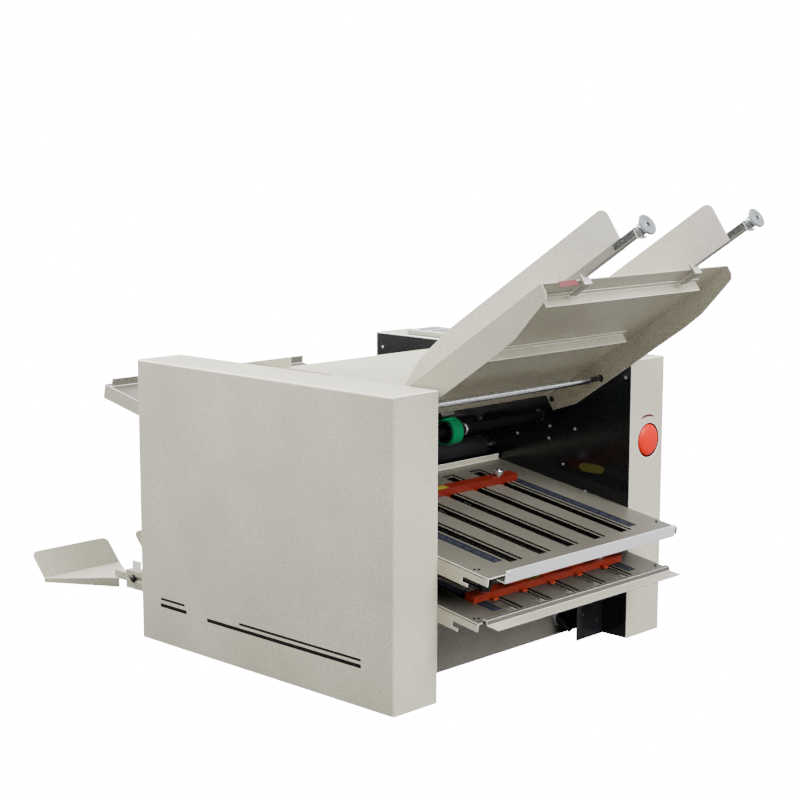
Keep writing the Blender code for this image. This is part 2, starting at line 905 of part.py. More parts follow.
def clip_mesh():
    """A strap that leaves the bar past the deck's end and turns back under it."""
    past = -table_up_length - seat_gap - clip_sheet
    under = -table_sheet - clip_depth
    profile = [
        (past, guide_bar_height / 2),
        (past, under),
        (past + clip_length, under),
    ]
    mesh = cross_sheet_mesh("guide_clip", profile, clip_width / 2)
    return solid_sheet_mesh("guide_clip", mesh, clip_sheet, 1)


def add_thumbscrew(table, name, matrix):
    """A knurled screw at the high end of a guide bar, with its axis along the slope."""
    disc_low = thumbscrew_stem_length
    disc_high = disc_low + thumbscrew_disc_thickness
    profile = [
        (0, disc_high),
        (thumbscrew_disc_radius, disc_high),
        (thumbscrew_disc_radius, disc_low),
        (thumbscrew_stem_radius, disc_low),
        (thumbscrew_stem_radius, 0),
        (0, 0),
    ]
    outward = Matrix.Rotation(quarter_turn, 4, "X")
    turn(place(name, turned_mesh(name, profile), zinc, matrix @ outward, table), small_steps)


def slot_places():
    """Left and right edges of every slot across a fold plate."""
    pair_width = wide_slot_width + slot_land + narrow_slot_width
    places = []
    for pair in range(slot_pairs):
        left = (pair - (slot_pairs - 1) / 2) * slot_pitch - pair_width / 2
        places.append((left, left + wide_slot_width))
        places.append((left + pair_width - narrow_slot_width, left + pair_width))
    return places


def slot_cutter_mesh(length, outward, margins, lead=0):
    """Cutters for a plate's slots; the narrow ones start ahead of the wide ones by the lead."""
    shape = bmesh.new()
    for number, (left, right) in enumerate(slot_places()):
        start = margins[0] - lead * (number % 2)
        ends = sorted((outward * start, outward * (length - margins[1])))
        low = (left, ends[0], -plate_sheet - overrun)
        high = (right, ends[1], overrun)
        box_shape(low, high, shape)
    return mesh_of("slots", shape)


def slot_turn_mesh():
    """The turns that take the narrow slots round the inner ends of the wide ones."""
    shape = bmesh.new()
    start = slot_turn_lead - turned_slot_margin
    places = slot_places()
    for wide, narrow in zip(places[::2], places[1::2]):
        low = (wide[0], start - slot_turn_width, -plate_sheet - overrun)
        high = ((narrow[0] + narrow[1]) / 2, start, overrun)
        box_shape(low, high, shape)
    return mesh_of("slot_turns", shape)


def floor_top():
    return -plate_sheet - plate_throat


def add_fold_plate(which, mouth_y, mouth_z, pitch, length, outward, margins=slot_margins, lead=0):
    """A buckle plate: slotted upper sheet with side flanges, and slotted floor sheet under it."""
    matrix = Matrix.Translation((0, mouth_y, mouth_z)) @ Matrix.Rotation(pitch, 4, "X")
    frame = frame_empty(f"{which}_plate_frame", matrix)
    half = plate_half_width - plate_sheet
    section = [
        (-half, -plate_flange_depth),
        (-half, -plate_sheet),
        (half, -plate_sheet),
        (half, -plate_flange_depth),
    ]
    ends = sorted((0, outward * length))
    mesh = swept_sheet_mesh(f"{which}_plate", section, *ends)
    plate = thicken(place(f"{which}_plate", mesh, paint, parent=frame), plate_sheet, 1)
    join(plate, mouth_lip_mesh(outward), parent=frame)
    cut(plate, slot_cutter_mesh(length, outward, margins, lead), parent=frame)
    if outward < 0:
        cut(plate, hook_cutter_mesh(length), SIDE_VIEW, frame)
    floor_half = half - plate_floor_gap
    floor_ends = sorted((0, outward * (length - front_bar_leg - 2 * front_bar_sheet)))
    floor_mesh = box_mesh(
        f"{which}_plate_floor",
        (-floor_half, floor_ends[0], floor_top() - plate_sheet),
        (floor_half, floor_ends[1], floor_top()),
    )
    floor = place(f"{which}_plate_floor", floor_mesh, dark_steel, parent=frame)
    slots = slot_cutter_mesh(length, outward, slot_margins)
    cut(floor, slots, Matrix.Translation((0, 0, floor_top())), frame)
    add_stop(which, frame, outward)
    return frame, plate


def hook_cutter_mesh(length):
    """The notch at a flange's far end and the slot that runs in from it over the hook's tongue."""
    below = -plate_flange_depth - overrun
    tongue = -plate_flange_depth + hook_tongue
    top = -plate_flange_depth + hook_height
    notch = length - hook_length
    slot = notch - hook_slot_length
    corners = [
        (length + overrun, below),
        (notch, below),
        (notch, tongue),
        (slot, tongue),
        (slot, top),
        (length + overrun, top),
    ]
    outline = [(-along, up) for along, up in corners]
    return outline_mesh("hook_cut", outline, 2 * (plate_half_width + overrun))


def mouth_lip_mesh(outward):
    """The lip turned up at a plate's mouth."""
    wide = plate_half_width - 2 * plate_sheet
    ends = sorted((0, outward * plate_sheet))
    return box_mesh("mouth_lip", (-wide, ends[0], -plate_sheet / 2), (wide, ends[1], plate_lip_height))


def add_stop(which, frame, outward):
    """The bar that the paper's edge runs against, with a finger through every wide slot."""
    centre = outward * stop_places[which]
    half_length = stop_past_slots[which] - slot_places()[0][0]
    low = (-half_length, centre - stop_width / 2, seat_gap)
    high = (half_length, centre + stop_width / 2, seat_gap + stop_height)
    stop = place(f"{which}_stop", box_mesh(f"{which}_stop", low, high), orange_red, parent=frame)
    fingers = bmesh.new()
    for left, right in slot_places()[::2]:
        middle = (left + right) / 2
        half = stop_finger_width / 2
        reach = stop_finger_length / 2
        box_shape(
            (middle - half, centre - reach, floor_top() + stop_finger_clearance),
            (middle + half, centre + reach, seat_gap + stop_height / 2),
            fingers,
        )
    join(stop, mesh_of("stop_fingers", fingers), parent=frame)
    if which in stop_screws:
        add_stop_screw(stop, frame, f"{which}_stop_screw", centre, *stop_screws[which])


def add_stop_screw(stop, frame, name, y, x, radius, height):
    """A thumbscrew through the stop bar, with its axis square to the fold plate."""
    top = seat_gap + stop_height
    hole_radius = stop_screw_stem_radius + stop_screw_hole_clearance
    hole = cylinder_mesh("stop_screw_hole", hole_radius, stop_height + 2 * overrun, small_steps)
    cut(stop, hole, Matrix.Translation((x, y, -overrun)), frame)
    profile = [
        (0, top + seat_gap + height),
        (radius, top + seat_gap + height),
        (radius, top + seat_gap),
        (stop_screw_stem_radius, top + seat_gap),
        (stop_screw_stem_radius, seat_gap),
        (0, seat_gap),
    ]
    surface = black_plastic if name.startswith("lower") else zinc
    made = place(name, turned_mesh(name, profile), surface, Matrix.Translation((x, y, 0)), frame)
    turn(made, small_steps)


def add_front_bar(frame):
    """The satin angle across the front edge of the upper front plate."""
    face = -upper_front_length - seat_gap - front_bar_sheet
    profile = [
        (face + front_bar_leg, front_bar_above - front_bar_height),
        (face, front_bar_above - front_bar_height),
        (face, front_bar_above),
    ]
    mesh = cross_sheet_mesh("upper_front_bar", profile, front_bar_half_length)
    aside = Matrix.Translation((front_bar_shift, 0, 0))
    thicken(place("upper_front_bar", mesh, aluminium, aside, frame), front_bar_sheet)


def add_front_lip(frame, plate):
    """The bead and the long lip that the lower front plate's sheet ends in."""
    start = -lower_front_length
    profile = [
        (start + plate_sheet, -plate_sheet),
        (start, -plate_sheet),
        (start - front_lip_bead_shares[0] * front_lip_bead, front_lip_bead),
        (start - front_lip_bead_shares[1] * front_lip_bead, front_lip_bead),
        (start - front_lip_bead_shares[2] * front_lip_bead, -plate_sheet),
        (start - front_lip_length, -front_lip_drop),
    ]
    mesh = cross_sheet_mesh("front_lip", profile, front_lip_half_width)
    join(plate, solid_sheet_mesh("front_lip", mesh, plate_sheet), parent=frame)


def add_rear_wall(frame, plate):
    """The wall turned up near the far end of the upper rear plate."""
    wide = plate_half_width - 2 * plate_sheet
    end = upper_rear_length - end_wall_inset
    low = (-wide, end - plate_sheet, -plate_sheet / 2)
    high = (wide, end, end_wall_height)
    join(plate, box_mesh("rear_wall", low, high), parent=frame)


def add_fold_plates():
    frame, plate = add_fold_plate(
        "upper_front",
        front_mouth_y,
        upper_front_mouth_z,
        front_plate_pitch,
        upper_front_length,
        -1,
        (turned_slot_margin, slot_margins[1]),
        slot_turn_lead,
    )
    cut(plate, slot_turn_mesh(), parent=frame)
    add_front_bar(frame)
    frame, plate = add_fold_plate(
        "lower_front",
        front_mouth_y,
        lower_front_mouth_z,
        front_plate_pitch,
        lower_front_length,
        -1,
        (slot_margin, lip_slot_end_margin),
    )
    add_front_lip(frame, plate)
    frame, plate = add_fold_plate(
        "upper_rear", rear_mouth_y, upper_rear_mouth_z, rear_plate_pitch, upper_rear_length, 1
    )
    add_rear_wall(frame, plate)
    add_fold_plate(
        "lower_rear", rear_mouth_y, lower_rear_mouth_z, rear_plate_pitch, lower_rear_length, 1
    )


def add_corner_bracket():
    """The black sheet bracket in front of the base pan, beside the right frame."""
    middle = frame_inner_x - pan_side_gap - bracket_width / 2
    profile = [
        (bracket_y, frame_foot_gap),
        (bracket_y, bracket_height),
        (pan_front_y - seat_gap, bracket_height),
    ]
    mesh = cross_sheet_mesh("corner_bracket", profile, bracket_width / 2)
    matrix = Matrix.Translation((middle, 0, 0))
    thicken(place("corner_bracket", mesh, black_plastic, matrix), bracket_sheet)


def add_gland():
    """The cable gland in the base pan, with its drooping rubber sleeve."""
    outer = pan_front_y - seat_gap
    nut = cylinder_mesh(
        "cable_gland",
        gland_radius,
        gland_length,
        small_steps,
        Matrix.Translation((gland_x, outer - gland_length, gland_z)) @ ALONG_Y,
    )
    gland = place("cable_gland", nut, black_plastic)
    droop = Matrix.Rotation(quarter_turn + sleeve_droop, 4, "X")
    start = Matrix.Translation((gland_x, outer - gland_length / 2, gland_z))
    join(gland, cylinder_mesh("gland_sleeve", sleeve_radius, sleeve_length, small_steps, start @ droop))


def add_emergency_stop():
    """A domed button in a hole of the right cover, guided by a ring behind the sheet."""
    face = Matrix.Translation((stop_button_x, front_y, stop_button_z)) @ FRONT_VIEW
    ring = outline_mesh(
        "emergency_stop_collar",
        circle_points(stop_collar_radius, roller_steps),
        stop_collar_length,
        [circle_points(stop_button_radius + seat_gap, roller_steps)],
    )
    behind = Matrix.Translation((0, 0, -cover_sheet - seat_gap - stop_collar_length / 2))
    place("emergency_stop_collar", ring, black_plastic, face @ behind)
    profile = [(0, stop_button_rise)]
    for across, up in stop_button_dome_shares:
        profile.append((across * stop_button_radius, up * stop_button_rise))
    profile += [(stop_button_radius, 0), (stop_button_radius, -stop_button_depth), (0, -stop_button_depth)]
    button = place("emergency_stop_button", turned_mesh("emergency_stop_button", profile), stop_red, face)
    turn(button, roller_steps)
    well = cylinder_mesh("button_well", stop_hole_radius, cover_sheet + 2 * overrun, roller_steps)
    cut(bpy.data.objects["right_cover"], well, face @ Matrix.Translation((0, 0, -cover_sheet - overrun)))


def add_control_panel():
    """The low panel with keys and a counter on the right cover."""
    low = (panel_x - panel_width / 2, panel_front_y, body_height + seat_gap)
    high = (panel_x + panel_width / 2, panel_front_y + panel_length, low[2] + panel_height)
    place("control_panel", box_mesh("control_panel", low, high), black_plastic)


def add_arm(name, x):
    """A channel from the base pan's rear wall, open underneath, that holds a wing's tongue."""
    half = arm_width / 2 - arm_sheet
    top = arm_bottom_z + arm_height
    section = [
        (x - half, arm_bottom_z),
        (x - half, top - arm_sheet),
        (x + half, top - arm_sheet),
        (x + half, arm_bottom_z),
    ]
    start = pan_rear_y + seat_gap
    mesh = swept_sheet_mesh(name, section, start, arm_end_y)
    arm = thicken(place(name, mesh, paint), arm_sheet, 1)
    foot_low = (x - arm_foot_width / 2, start, arm_bottom_z)
    foot_high = (x + arm_foot_width / 2, start + arm_sheet, arm_bottom_z + arm_foot_height)
    join(arm, box_mesh("arm_foot", foot_low, foot_high))
    slot_low = (x - arm_width, arm_slot_start_y, wing_screw_z - arm_slot_height / 2)
    slot_high = (x, arm_slot_end_y, wing_screw_z + arm_slot_height / 2)
    cut(arm, box_mesh("arm_slot", slot_low, slot_high))


def wing_mesh(name, x, nose_x):
    """The folded sheet of a wing: floor, reclined wall and two lips turned down."""
    shape = bmesh.new()
    nose_y = wing_wall_y - wing_floor_depth
    z = wing_floor_z
    left = x - wing_half_width
    right = x + wing_half_width

    def point(across, along, up):
        return shape.verts.new((across, along, up))

    wall_left = point(left, wing_wall_y, z)
    wall_right = point(right, wing_wall_y, z)
    nose_left = point(nose_x - wing_nose_half_width, nose_y, z)
    nose_right = point(nose_x + wing_nose_half_width, nose_y, z)
    shape.faces.new((nose_left, nose_right, wall_right, wall_left))
    inner = wing_wall_length - wing_corner_radius
    flat = wing_half_width - wing_corner_radius
    rim = corner_arc((flat, inner), wing_corner_radius, 0) + corner_arc(
        (-flat, inner), wing_corner_radius, math.pi / 2
    )
    rise = math.cos(wing_recline)
    back = math.sin(wing_recline)
    top = [point(x + across, wing_wall_y + up * back, z + up * rise) for across, up in rim]
    shape.faces.new((wall_left, wall_right, *top))
    for near, far, side in ((nose_left, wall_left, -1), (wall_right, nose_right, 1)):
        drops = (wing_lip_at_nose, wing_lip_at_wall) if side < 0 else (wing_lip_at_wall, wing_lip_at_nose)
        low_near = point(near.co.x, near.co.y, z - drops[0])
        low_far = point(far.co.x, far.co.y, z - drops[1])
        shape.faces.new((near, far, low_far, low_near))
    bmesh.ops.recalc_face_normals(shape, faces=shape.faces)
    return mesh_of(name, shape)


def add_wing(name, x):
    """A catch wing with its tongue, and the screw that clamps the tongue in the arm's slot."""
    sheet = wing_mesh(name, x - wing_offset_x, x + wing_nose_offset_x)
    wing = thicken(place(f"{name}_wing", sheet, paint), wing_sheet, 0)
    half = tongue_width / 2
    tongue_end = wing_wall_y - wing_floor_depth + tongue_on_floor
    tongue_low = (x - half, tongue_start_y, wing_floor_z)
    tongue_high = (x + half, tongue_end, tongue_top_z)
    join(wing, box_mesh("tongue", tongue_low, tongue_high))
    axis = Matrix.Translation((x, wing_screw_y, wing_screw_z))
    hole = cylinder_mesh(
        "wing_screw_hole",
        wing_screw_stem_radius + seat_gap,
        tongue_width,
        small_steps,
        axis @ ALONG_X @ Matrix.Translation((0, 0, -tongue_width)),
    )
    cut(wing, hole)
    face = arm_width / 2 + seat_gap
    profile = [
        (0, face + wing_screw_head_height),
        (wing_screw_head_radius, face + wing_screw_head_height),
        (wing_screw_head_radius, face),
        (wing_screw_stem_radius, face),
        (wing_screw_stem_radius, seat_gap),
        (0, seat_gap),
    ]
    outward = Matrix.Rotation(-quarter_turn, 4, "Y")
    screw = place(f"{name}_wing_screw", turned_mesh(f"{name}_wing_screw", profile), zinc, axis @ outward)
    turn(screw, small_steps)


def build():
    add_base_pan()
    for side in (-1, 1):
        add_side_cover(side)
        add_side_frame(side)
    add_top_cover()
    add_fold_rollers()
    add_gears()
    add_drive()
    add_feed_roller()
    add_separator_pad()
    table = frame_empty("table_frame", table_frame_matrix)
    add_table(table)
    add_tie_rod(table)
    for side in (-1, 1):
        add_guide(table, side)
    add_fold_plates()
    add_corner_bracket()
    add_gland()
    add_emergency_stop()
    add_control_panel()
    for name, x in (("left_delivery", left_arm_x), ("right_delivery", right_arm_x)):
        add_arm(f"{name}_arm", x)
        add_wing(name, x)


build()
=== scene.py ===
import json
import math

import bmesh
import bpy
from mathutils import Matrix, Vector

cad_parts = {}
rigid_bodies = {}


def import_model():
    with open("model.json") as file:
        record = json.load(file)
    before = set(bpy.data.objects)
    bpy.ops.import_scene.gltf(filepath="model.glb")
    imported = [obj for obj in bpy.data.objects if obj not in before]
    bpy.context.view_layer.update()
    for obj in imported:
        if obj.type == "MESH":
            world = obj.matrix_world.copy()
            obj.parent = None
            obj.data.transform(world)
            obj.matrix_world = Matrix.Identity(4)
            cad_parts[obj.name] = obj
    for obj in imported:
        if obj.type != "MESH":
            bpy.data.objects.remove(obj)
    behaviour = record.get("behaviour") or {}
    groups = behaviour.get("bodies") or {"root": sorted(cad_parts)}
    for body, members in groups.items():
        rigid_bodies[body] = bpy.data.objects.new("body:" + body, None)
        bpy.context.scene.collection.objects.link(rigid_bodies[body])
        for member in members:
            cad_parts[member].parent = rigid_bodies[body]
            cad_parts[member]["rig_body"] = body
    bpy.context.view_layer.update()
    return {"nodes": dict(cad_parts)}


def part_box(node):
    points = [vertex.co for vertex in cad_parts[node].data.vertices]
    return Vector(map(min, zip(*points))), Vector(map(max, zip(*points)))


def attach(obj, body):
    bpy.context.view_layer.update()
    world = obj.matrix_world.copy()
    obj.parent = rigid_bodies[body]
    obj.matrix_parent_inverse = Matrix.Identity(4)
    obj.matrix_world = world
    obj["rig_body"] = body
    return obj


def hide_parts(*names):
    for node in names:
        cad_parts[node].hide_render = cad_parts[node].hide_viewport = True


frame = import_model()

# Base pan: one folded tray of 2 mm steel sheet that the side frames are screwed to.
# It is sprayed dark grey, and the enamel is baked, so its sheared edges are soft.
pan_edge = 0.0004
pan_grain = 0.0014


def linear(colour):
    """An sRGB hex colour as linear red, green, blue and alpha."""
    parts = [int(colour[i : i + 2], 16) / 255 for i in (1, 3, 5)]
    return (*[part / 12.92 if part <= 0.04045 else ((part + 0.055) / 1.055) ** 2.4 for part in parts], 1)


def add(tree, kind, values={}):
    """Adds a node, or takes the one of this name, with its settings and links.

    A value is a setting, an input's number or hex colour, or the node or socket that feeds it.
    """
    node = tree.nodes.get(kind) or tree.nodes.new(kind)
    for key, value in values.items():
        if isinstance(value, bpy.types.Node):
            value = value.outputs[2 if value.bl_idname == "ShaderNodeMix" else 0]
        if isinstance(value, bpy.types.NodeSocket):
            tree.links.new(value, node.inputs[key])
        elif isinstance(key, str) and key in node.bl_rna.properties:
            setattr(node, key, value)
        else:
            node.inputs[key].default_value = linear(value) if str(value).startswith("#") else value
    return node


def surface(name, metallic, roughness, ior=1.5):
    """A new material, its node tree and the object's own coordinates."""
    made = bpy.data.materials.new(name)
    made.use_nodes = True
    tree = made.node_tree
    add(tree, "Principled BSDF", {"Metallic": metallic, "Roughness": roughness, "IOR": ior})
    return made, tree, add(tree, "ShaderNodeTexCoord").outputs["Object"]


def sprayed_steel(name, colour, dark, light, grain, roughness):
    """Paint baked on steel: fine darker and lighter grains, a slow change of tone and an orange peel."""
    made, tree, where = surface(name, 0, roughness)
    fine = {"Scale": 1 / grain, "Detail": 2, "Roughness": 0.65, "Vector": where}
    grains = add(tree, "ShaderNodeTexNoise", fine)
    slow = add(tree, "ShaderNodeTexNoise", {"Scale": 9, "Detail": 3, "Vector": where})
    ends = ("From Min", "From Max", "To Min", "To Max")
    low, high, tone, rough = [
        add(tree, "ShaderNodeMapRange", {"Value": value, **dict(zip(ends, limits))})
        for value, *limits in (
            (grains, 0.45, 0.30, 0, 0.8),
            (grains, 0.54, 0.70, 0, 0.9),
            (slow, 0.3, 0.7, 0, 0.35),
            (grains, 0.3, 0.7, roughness - 0.05, roughness + 0.08),
        )
    ]
    first = add(tree, "ShaderNodeMix", {"data_type": "RGBA", 0: low, 6: colour, 7: dark})
    second = add(tree, "ShaderNodeMix", {"data_type": "RGBA", 0: high, 6: first, 7: light})
    third = add(tree, "ShaderNodeMix", {"data_type": "RGBA", 0: tone, 6: second, 7: dark})
    peel = add(tree, "ShaderNodeTexNoise", {"Scale": 0.7 / grain, "Detail": 1, "Vector": where})
    bump = add(tree, "ShaderNodeBump", {"Strength": 0.25, "Distance": 0.0002, "Height": peel})
    add(tree, "Principled BSDF", {"Base Color": third, "Roughness": rough, "Normal": bump})
    return made


def in_scene(name, data):
    """A new object in the scene, with this mesh, text, lamp or lens."""
    made = bpy.data.objects.new(name, data)
    bpy.context.scene.collection.objects.link(made)
    return made


def wear(piece, node):
    """The piece stands for a CAD node: it rides on that node's body, and the node is hidden."""
    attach(piece, frame["nodes"][node]["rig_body"])
    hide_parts(node)


def rounded(piece, edge):
    """Rounds the edges of a piece; gives the modifier."""
    bevel = piece.modifiers.new("rounded", "BEVEL")
    bevel.width = edge
    bevel.segments = 2
    bevel.harden_normals = True
    return bevel


def broken_edges(node, edge, finishes, pick=None):
    """A copy of a CAD node's sheet with rounded edges, which take the last of its finishes.

    Where a finish is picked for each face, faces with finish 1 are cut edges and stay sharp.
    """
    shape = bmesh.new()
    shape.from_mesh(frame["nodes"][node].data)
    for layer in list(shape.loops.layers.uv):
        shape.loops.layers.uv.remove(layer)
    bmesh.ops.remove_doubles(shape, verts=shape.verts, dist=0.000002)
    bmesh.ops.dissolve_limit(shape, angle_limit=math.radians(1), verts=shape.verts, edges=shape.edges)
    index = {vert: number for number, vert in enumerate(shape.verts)}
    mesh = bpy.data.meshes.new(f"{node}_sheet")
    faces = [[index[vert] for vert in face.verts] for face in shape.faces]
    mesh.from_pydata([vert.co for vert in shape.verts], [], faces)
    shape.free()
    for finish in finishes:
        mesh.materials.append(finish)
    limit = math.radians(32)
    if pick:
        sides = {}
        for face in mesh.polygons:
            face.material_index = pick(face.normal, face.center)
            for key in face.edge_keys:
                sides.setdefault(key, []).append(face)
        weights = mesh.attributes.new("bevel_weight_edge", "FLOAT", "EDGE").data
        for line in mesh.edges:
            first, second = sides[line.key]
            is_cut = 1 in (first.material_index, second.material_index)
            weights[line.index].value = float(first.normal.angle(second.normal) > limit and not is_cut)
            line.use_edge_sharp = is_cut
    mesh.shade_smooth()
    piece = in_scene(f"{node}_finish", mesh)
    bevel = rounded(piece, edge)
    bevel.limit_method = "WEIGHT" if pick else "ANGLE"
    bevel.angle_limit = limit
    bevel.material = len(finishes) - 1
    wear(piece, node)


# Dark grey stove enamel, sprayed: half matt, with a fine grain
pan_enamel = sprayed_steel("dark_grey_stove_enamel", "#7A776F", "#5F5C56", "#8C8981", pan_grain, 0.45)
broken_edges("base_pan", pan_edge, [pan_enamel])

# Side frames: 4 mm steel plates, blackened and lacquered to a gloss, with a bore for every
# shaft. Flanged bushings are pressed into the bores, and pan head screws hold the plates.
frame_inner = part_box("right_side_frame")[0].x
top_roller_z = 0.2775
roller_step = 0.0305
roller_axes = [(0.012 if number % 2 else 0.028, top_roller_z - roller_step * number) for number in range(6)]
feed_axis = (-0.085, 0.3022)
bushing_radius = 0.0095
bushing_bore = 0.0061
bushing_rise = 0.0014
screw_radius = 0.0022
screw_rise = 0.0014

# Blackened steel under clear lacquer: near black, with dust specks that catch the light
black_lacquer, tree, where = surface("lacquered_blackened_steel", 0.0, 0.16)
specks = add(tree, "ShaderNodeTexNoise", {"Scale": 620, "Detail": 2, "Roughness": 0.7, "Vector": where})
dust = add(tree, "ShaderNodeMapRange", {"Value": specks, "From Min": 0.6, "From Max": 0.75, "To Max": 0.25})
colour = add(tree, "ShaderNodeMix", {"data_type": "RGBA", 0: dust, 6: "#17181A", 7: "#5A5D60"})
slow = add(tree, "ShaderNodeTexNoise", {"Scale": 14, "Detail": 2, "Vector": where})
rough = add(tree, "ShaderNodeMapRange", {"Value": slow, "To Min": 0.10, "To Max": 0.24})
bump = add(tree, "ShaderNodeBump", {"Strength": 0.12, "Distance": 0.0002, "Height": specks})
add(tree, "Principled BSDF", {"Base Color": colour, "Roughness": rough, "Normal": bump})


def plated_steel(name, colour, roughness, grain):
    """Plated or ground steel: a thin bright metal with slightly uneven gloss."""
    made, tree, where = surface(name, 1.0, roughness)
    mottle = add(tree, "ShaderNodeTexNoise", {"Scale": 1 / grain, "Detail": 3, "Vector": where})
    fade = add(tree, "ShaderNodeMapRange", {"Value": mottle, "From Min": 0.45, "From Max": 0.8})
    tint = add(tree, "ShaderNodeMix", {"data_type": "RGBA", 0: fade, 6: colour, 7: "#8E9296"})
    gloss = {"Value": mottle, "To Min": roughness * 0.7, "To Max": roughness * 1.4}
    rough = add(tree, "ShaderNodeMapRange", gloss)
    add(tree, "Principled BSDF", {"Base Color": tint, "Roughness": rough})
    return made


def seat_on_points(tree, source, shape):
    """Sets a shape on every point, standing along the point's own direction, turned at random."""
    facing = add(tree, "GeometryNodeInputNamedAttribute", {"data_type": "FLOAT_VECTOR", "Name": "facing"})
    stand = add(tree, "FunctionNodeAlignRotationToVector", {"axis": "Z", "Vector": facing})
    turns = {"data_type": "FLOAT", 2: 0.0, 3: math.pi, "Seed": source["Seed"]}
    spin = add(tree, "FunctionNodeRandomValue", turns)
    about = add(tree, "FunctionNodeAxisAngleToRotation", {"Axis": (0, 0, 1), "Angle": spin.outputs[1]})
    turned = add(tree, "FunctionNodeRotateRotation", {"rotation_space": "LOCAL", 0: stand, 1: about})
    seats = {"Points": source["Geometry"], "Instance": shape, "Rotation": turned}
    seated = add(tree, "GeometryNodeInstanceOnPoints", seats)
    real = add(tree, "GeometryNodeRealizeInstances", {"Geometry": seated})
    return add(tree, "GeometryNodeSetMaterial", {"Geometry": real, "Material": source["Finish"]})


def node_group(name, inputs):
    """A new geometry tree with named inputs; gives the tree and its input sockets by name."""
    tree = bpy.data.node_groups.new(name, "GeometryNodeTree")
    tree.is_modifier = True
    tree.interface.new_socket("Geometry", in_out="OUTPUT", socket_type="NodeSocketGeometry")
    kinds = {"Geometry": "Geometry", "Finish": "Material", "Seed": "Int", "Count": "Int"}
    for item in ("Geometry", *inputs, "Seed", "Finish"):
        tree.interface.new_socket(item, in_out="INPUT", socket_type=f"NodeSocket{kinds.get(item, 'Float')}")
    return tree, {socket.name: socket for socket in tree.nodes.new("NodeGroupInput").outputs if socket.name}


def close_group(tree, last):
    """The finished geometry tree, with its last node as its result."""
    add(tree, "NodeGroupOutput", {0: last})
    return tree


def grown(name, places, tree, values, body="machine", place=Matrix.Identity(4)):
    """The plain mesh that a geometry tree makes on points, each with the direction it faces."""
    points = bpy.data.meshes.new(name)
    points.from_pydata([spot for spot, facing in places], [], [])
    layer = points.attributes.new("facing", "FLOAT_VECTOR", "POINT")
    for number, (spot, facing) in enumerate(places):
        layer.data[number].vector = facing
    guide = in_scene(name, points)
    maker = guide.modifiers.new("maker", "NODES")
    maker.node_group = tree
    for item in tree.interface.items_tree:
        if item.item_type == "SOCKET" and item.in_out == "INPUT" and item.name in values:
            maker[item.identifier] = values[item.name]
    graph = bpy.context.evaluated_depsgraph_get()
    made = bpy.data.meshes.new_from_object(guide.evaluated_get(graph))
    made.transform(place)
    bpy.data.objects.remove(guide)
    piece = in_scene(name, made)
    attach(piece, body)


def standing(tree, source, shape):
    """The finished geometry tree that stands a shape on every point, raised by half its height."""
    half = add(tree, "ShaderNodeMath", {"operation": "MULTIPLY", 0: source["Rise"], 1: 0.5})
    lift = add(tree, "ShaderNodeCombineXYZ", {2: half})
    raised = add(tree, "GeometryNodeTransform", {"Geometry": shape, "Translation": lift})
    return close_group(tree, seat_on_points(tree, source, raised))


def pan_head_group():
    """A domed pan head with a cross recess."""
    tree, source = node_group("pan_head_screws", ("Radius", "Rise"))
    sizes = {"Radius": source["Radius"], "Depth": source["Rise"]}
    head = add(tree, "GeometryNodeMeshCylinder", {"Vertices": 20, "Fill Segments": 4, **sizes})
    point = add(tree, "GeometryNodeInputPosition")
    parts = add(tree, "ShaderNodeSeparateXYZ", {0: point})
    x, y, z = parts.outputs
    across, along, reach = [
        add(tree, "ShaderNodeMath", {"operation": "MULTIPLY", 0: side, 1: side})
        for side in (x, y, source["Radius"])
    ]
    square = add(tree, "ShaderNodeMath", {0: across, 1: along})
    share = add(tree, "ShaderNodeMath", {"operation": "DIVIDE", 0: square, 1: reach})
    drop = add(tree, "ShaderNodeMath", {"operation": "MULTIPLY", 0: share, 1: source["Rise"]})
    halved = add(tree, "ShaderNodeMath", {"operation": "MULTIPLY", 0: drop, 1: -0.5})
    shift = add(tree, "ShaderNodeCombineXYZ", {2: halved})
    upper = add(tree, "FunctionNodeCompare", {"operation": "GREATER_THAN", 0: z, 1: 0.0})
    dome = add(tree, "GeometryNodeSetPosition", {"Geometry": head, "Selection": upper, "Offset": shift})
    long_side, short_side, tall_side, height = [
        add(tree, "ShaderNodeMath", {"operation": "MULTIPLY", 0: source[size], 1: part})
        for size, part in (("Radius", 1.1), ("Radius", 0.26), ("Rise", 1.1), ("Rise", 0.55))
    ]
    up = add(tree, "ShaderNodeCombineXYZ", {2: height})
    recess = add(tree, "GeometryNodeMeshBoolean", {"operation": "DIFFERENCE", "Mesh 1": dome})
    for first, second in ((long_side, short_side), (short_side, long_side)):
        size = add(tree, "ShaderNodeCombineXYZ", {0: first, 1: second, 2: tall_side})
        bar = add(tree, "GeometryNodeMeshCube", {"Size": size})
        lifted = add(tree, "GeometryNodeTransform", {"Geometry": bar, "Translation": up})
        add(tree, recess.name, {"Mesh 2": lifted})
    return standing(tree, source, recess)


def bushing_group():
    """A flat ring with a bore, the flange of a pressed bushing."""
    tree, source = node_group("flanged_bushings", ("Radius", "Bore", "Rise"))
    sizes = {"Radius": source["Radius"], "Depth": source["Rise"]}
    disc = add(tree, "GeometryNodeMeshCylinder", {"Vertices": 32, **sizes})
    tall = add(tree, "ShaderNodeMath", {"operation": "MULTIPLY", 0: source["Rise"], 1: 2.0})
    core = add(tree, "GeometryNodeMeshCylinder", {"Vertices": 24, "Radius": source["Bore"], "Depth": tall})
    ring = add(tree, "GeometryNodeMeshBoolean", {"operation": "DIFFERENCE", "Mesh 1": disc, "Mesh 2": core})
    return standing(tree, source, ring)


zinc_plate = plated_steel("bright_zinc_plated_steel", "#D9DEE2", 0.28, 0.004)
for node in ("left_side_frame", "right_side_frame"):
    broken_edges(node, 0.0003, [black_lacquer])

pan_heads = pan_head_group()


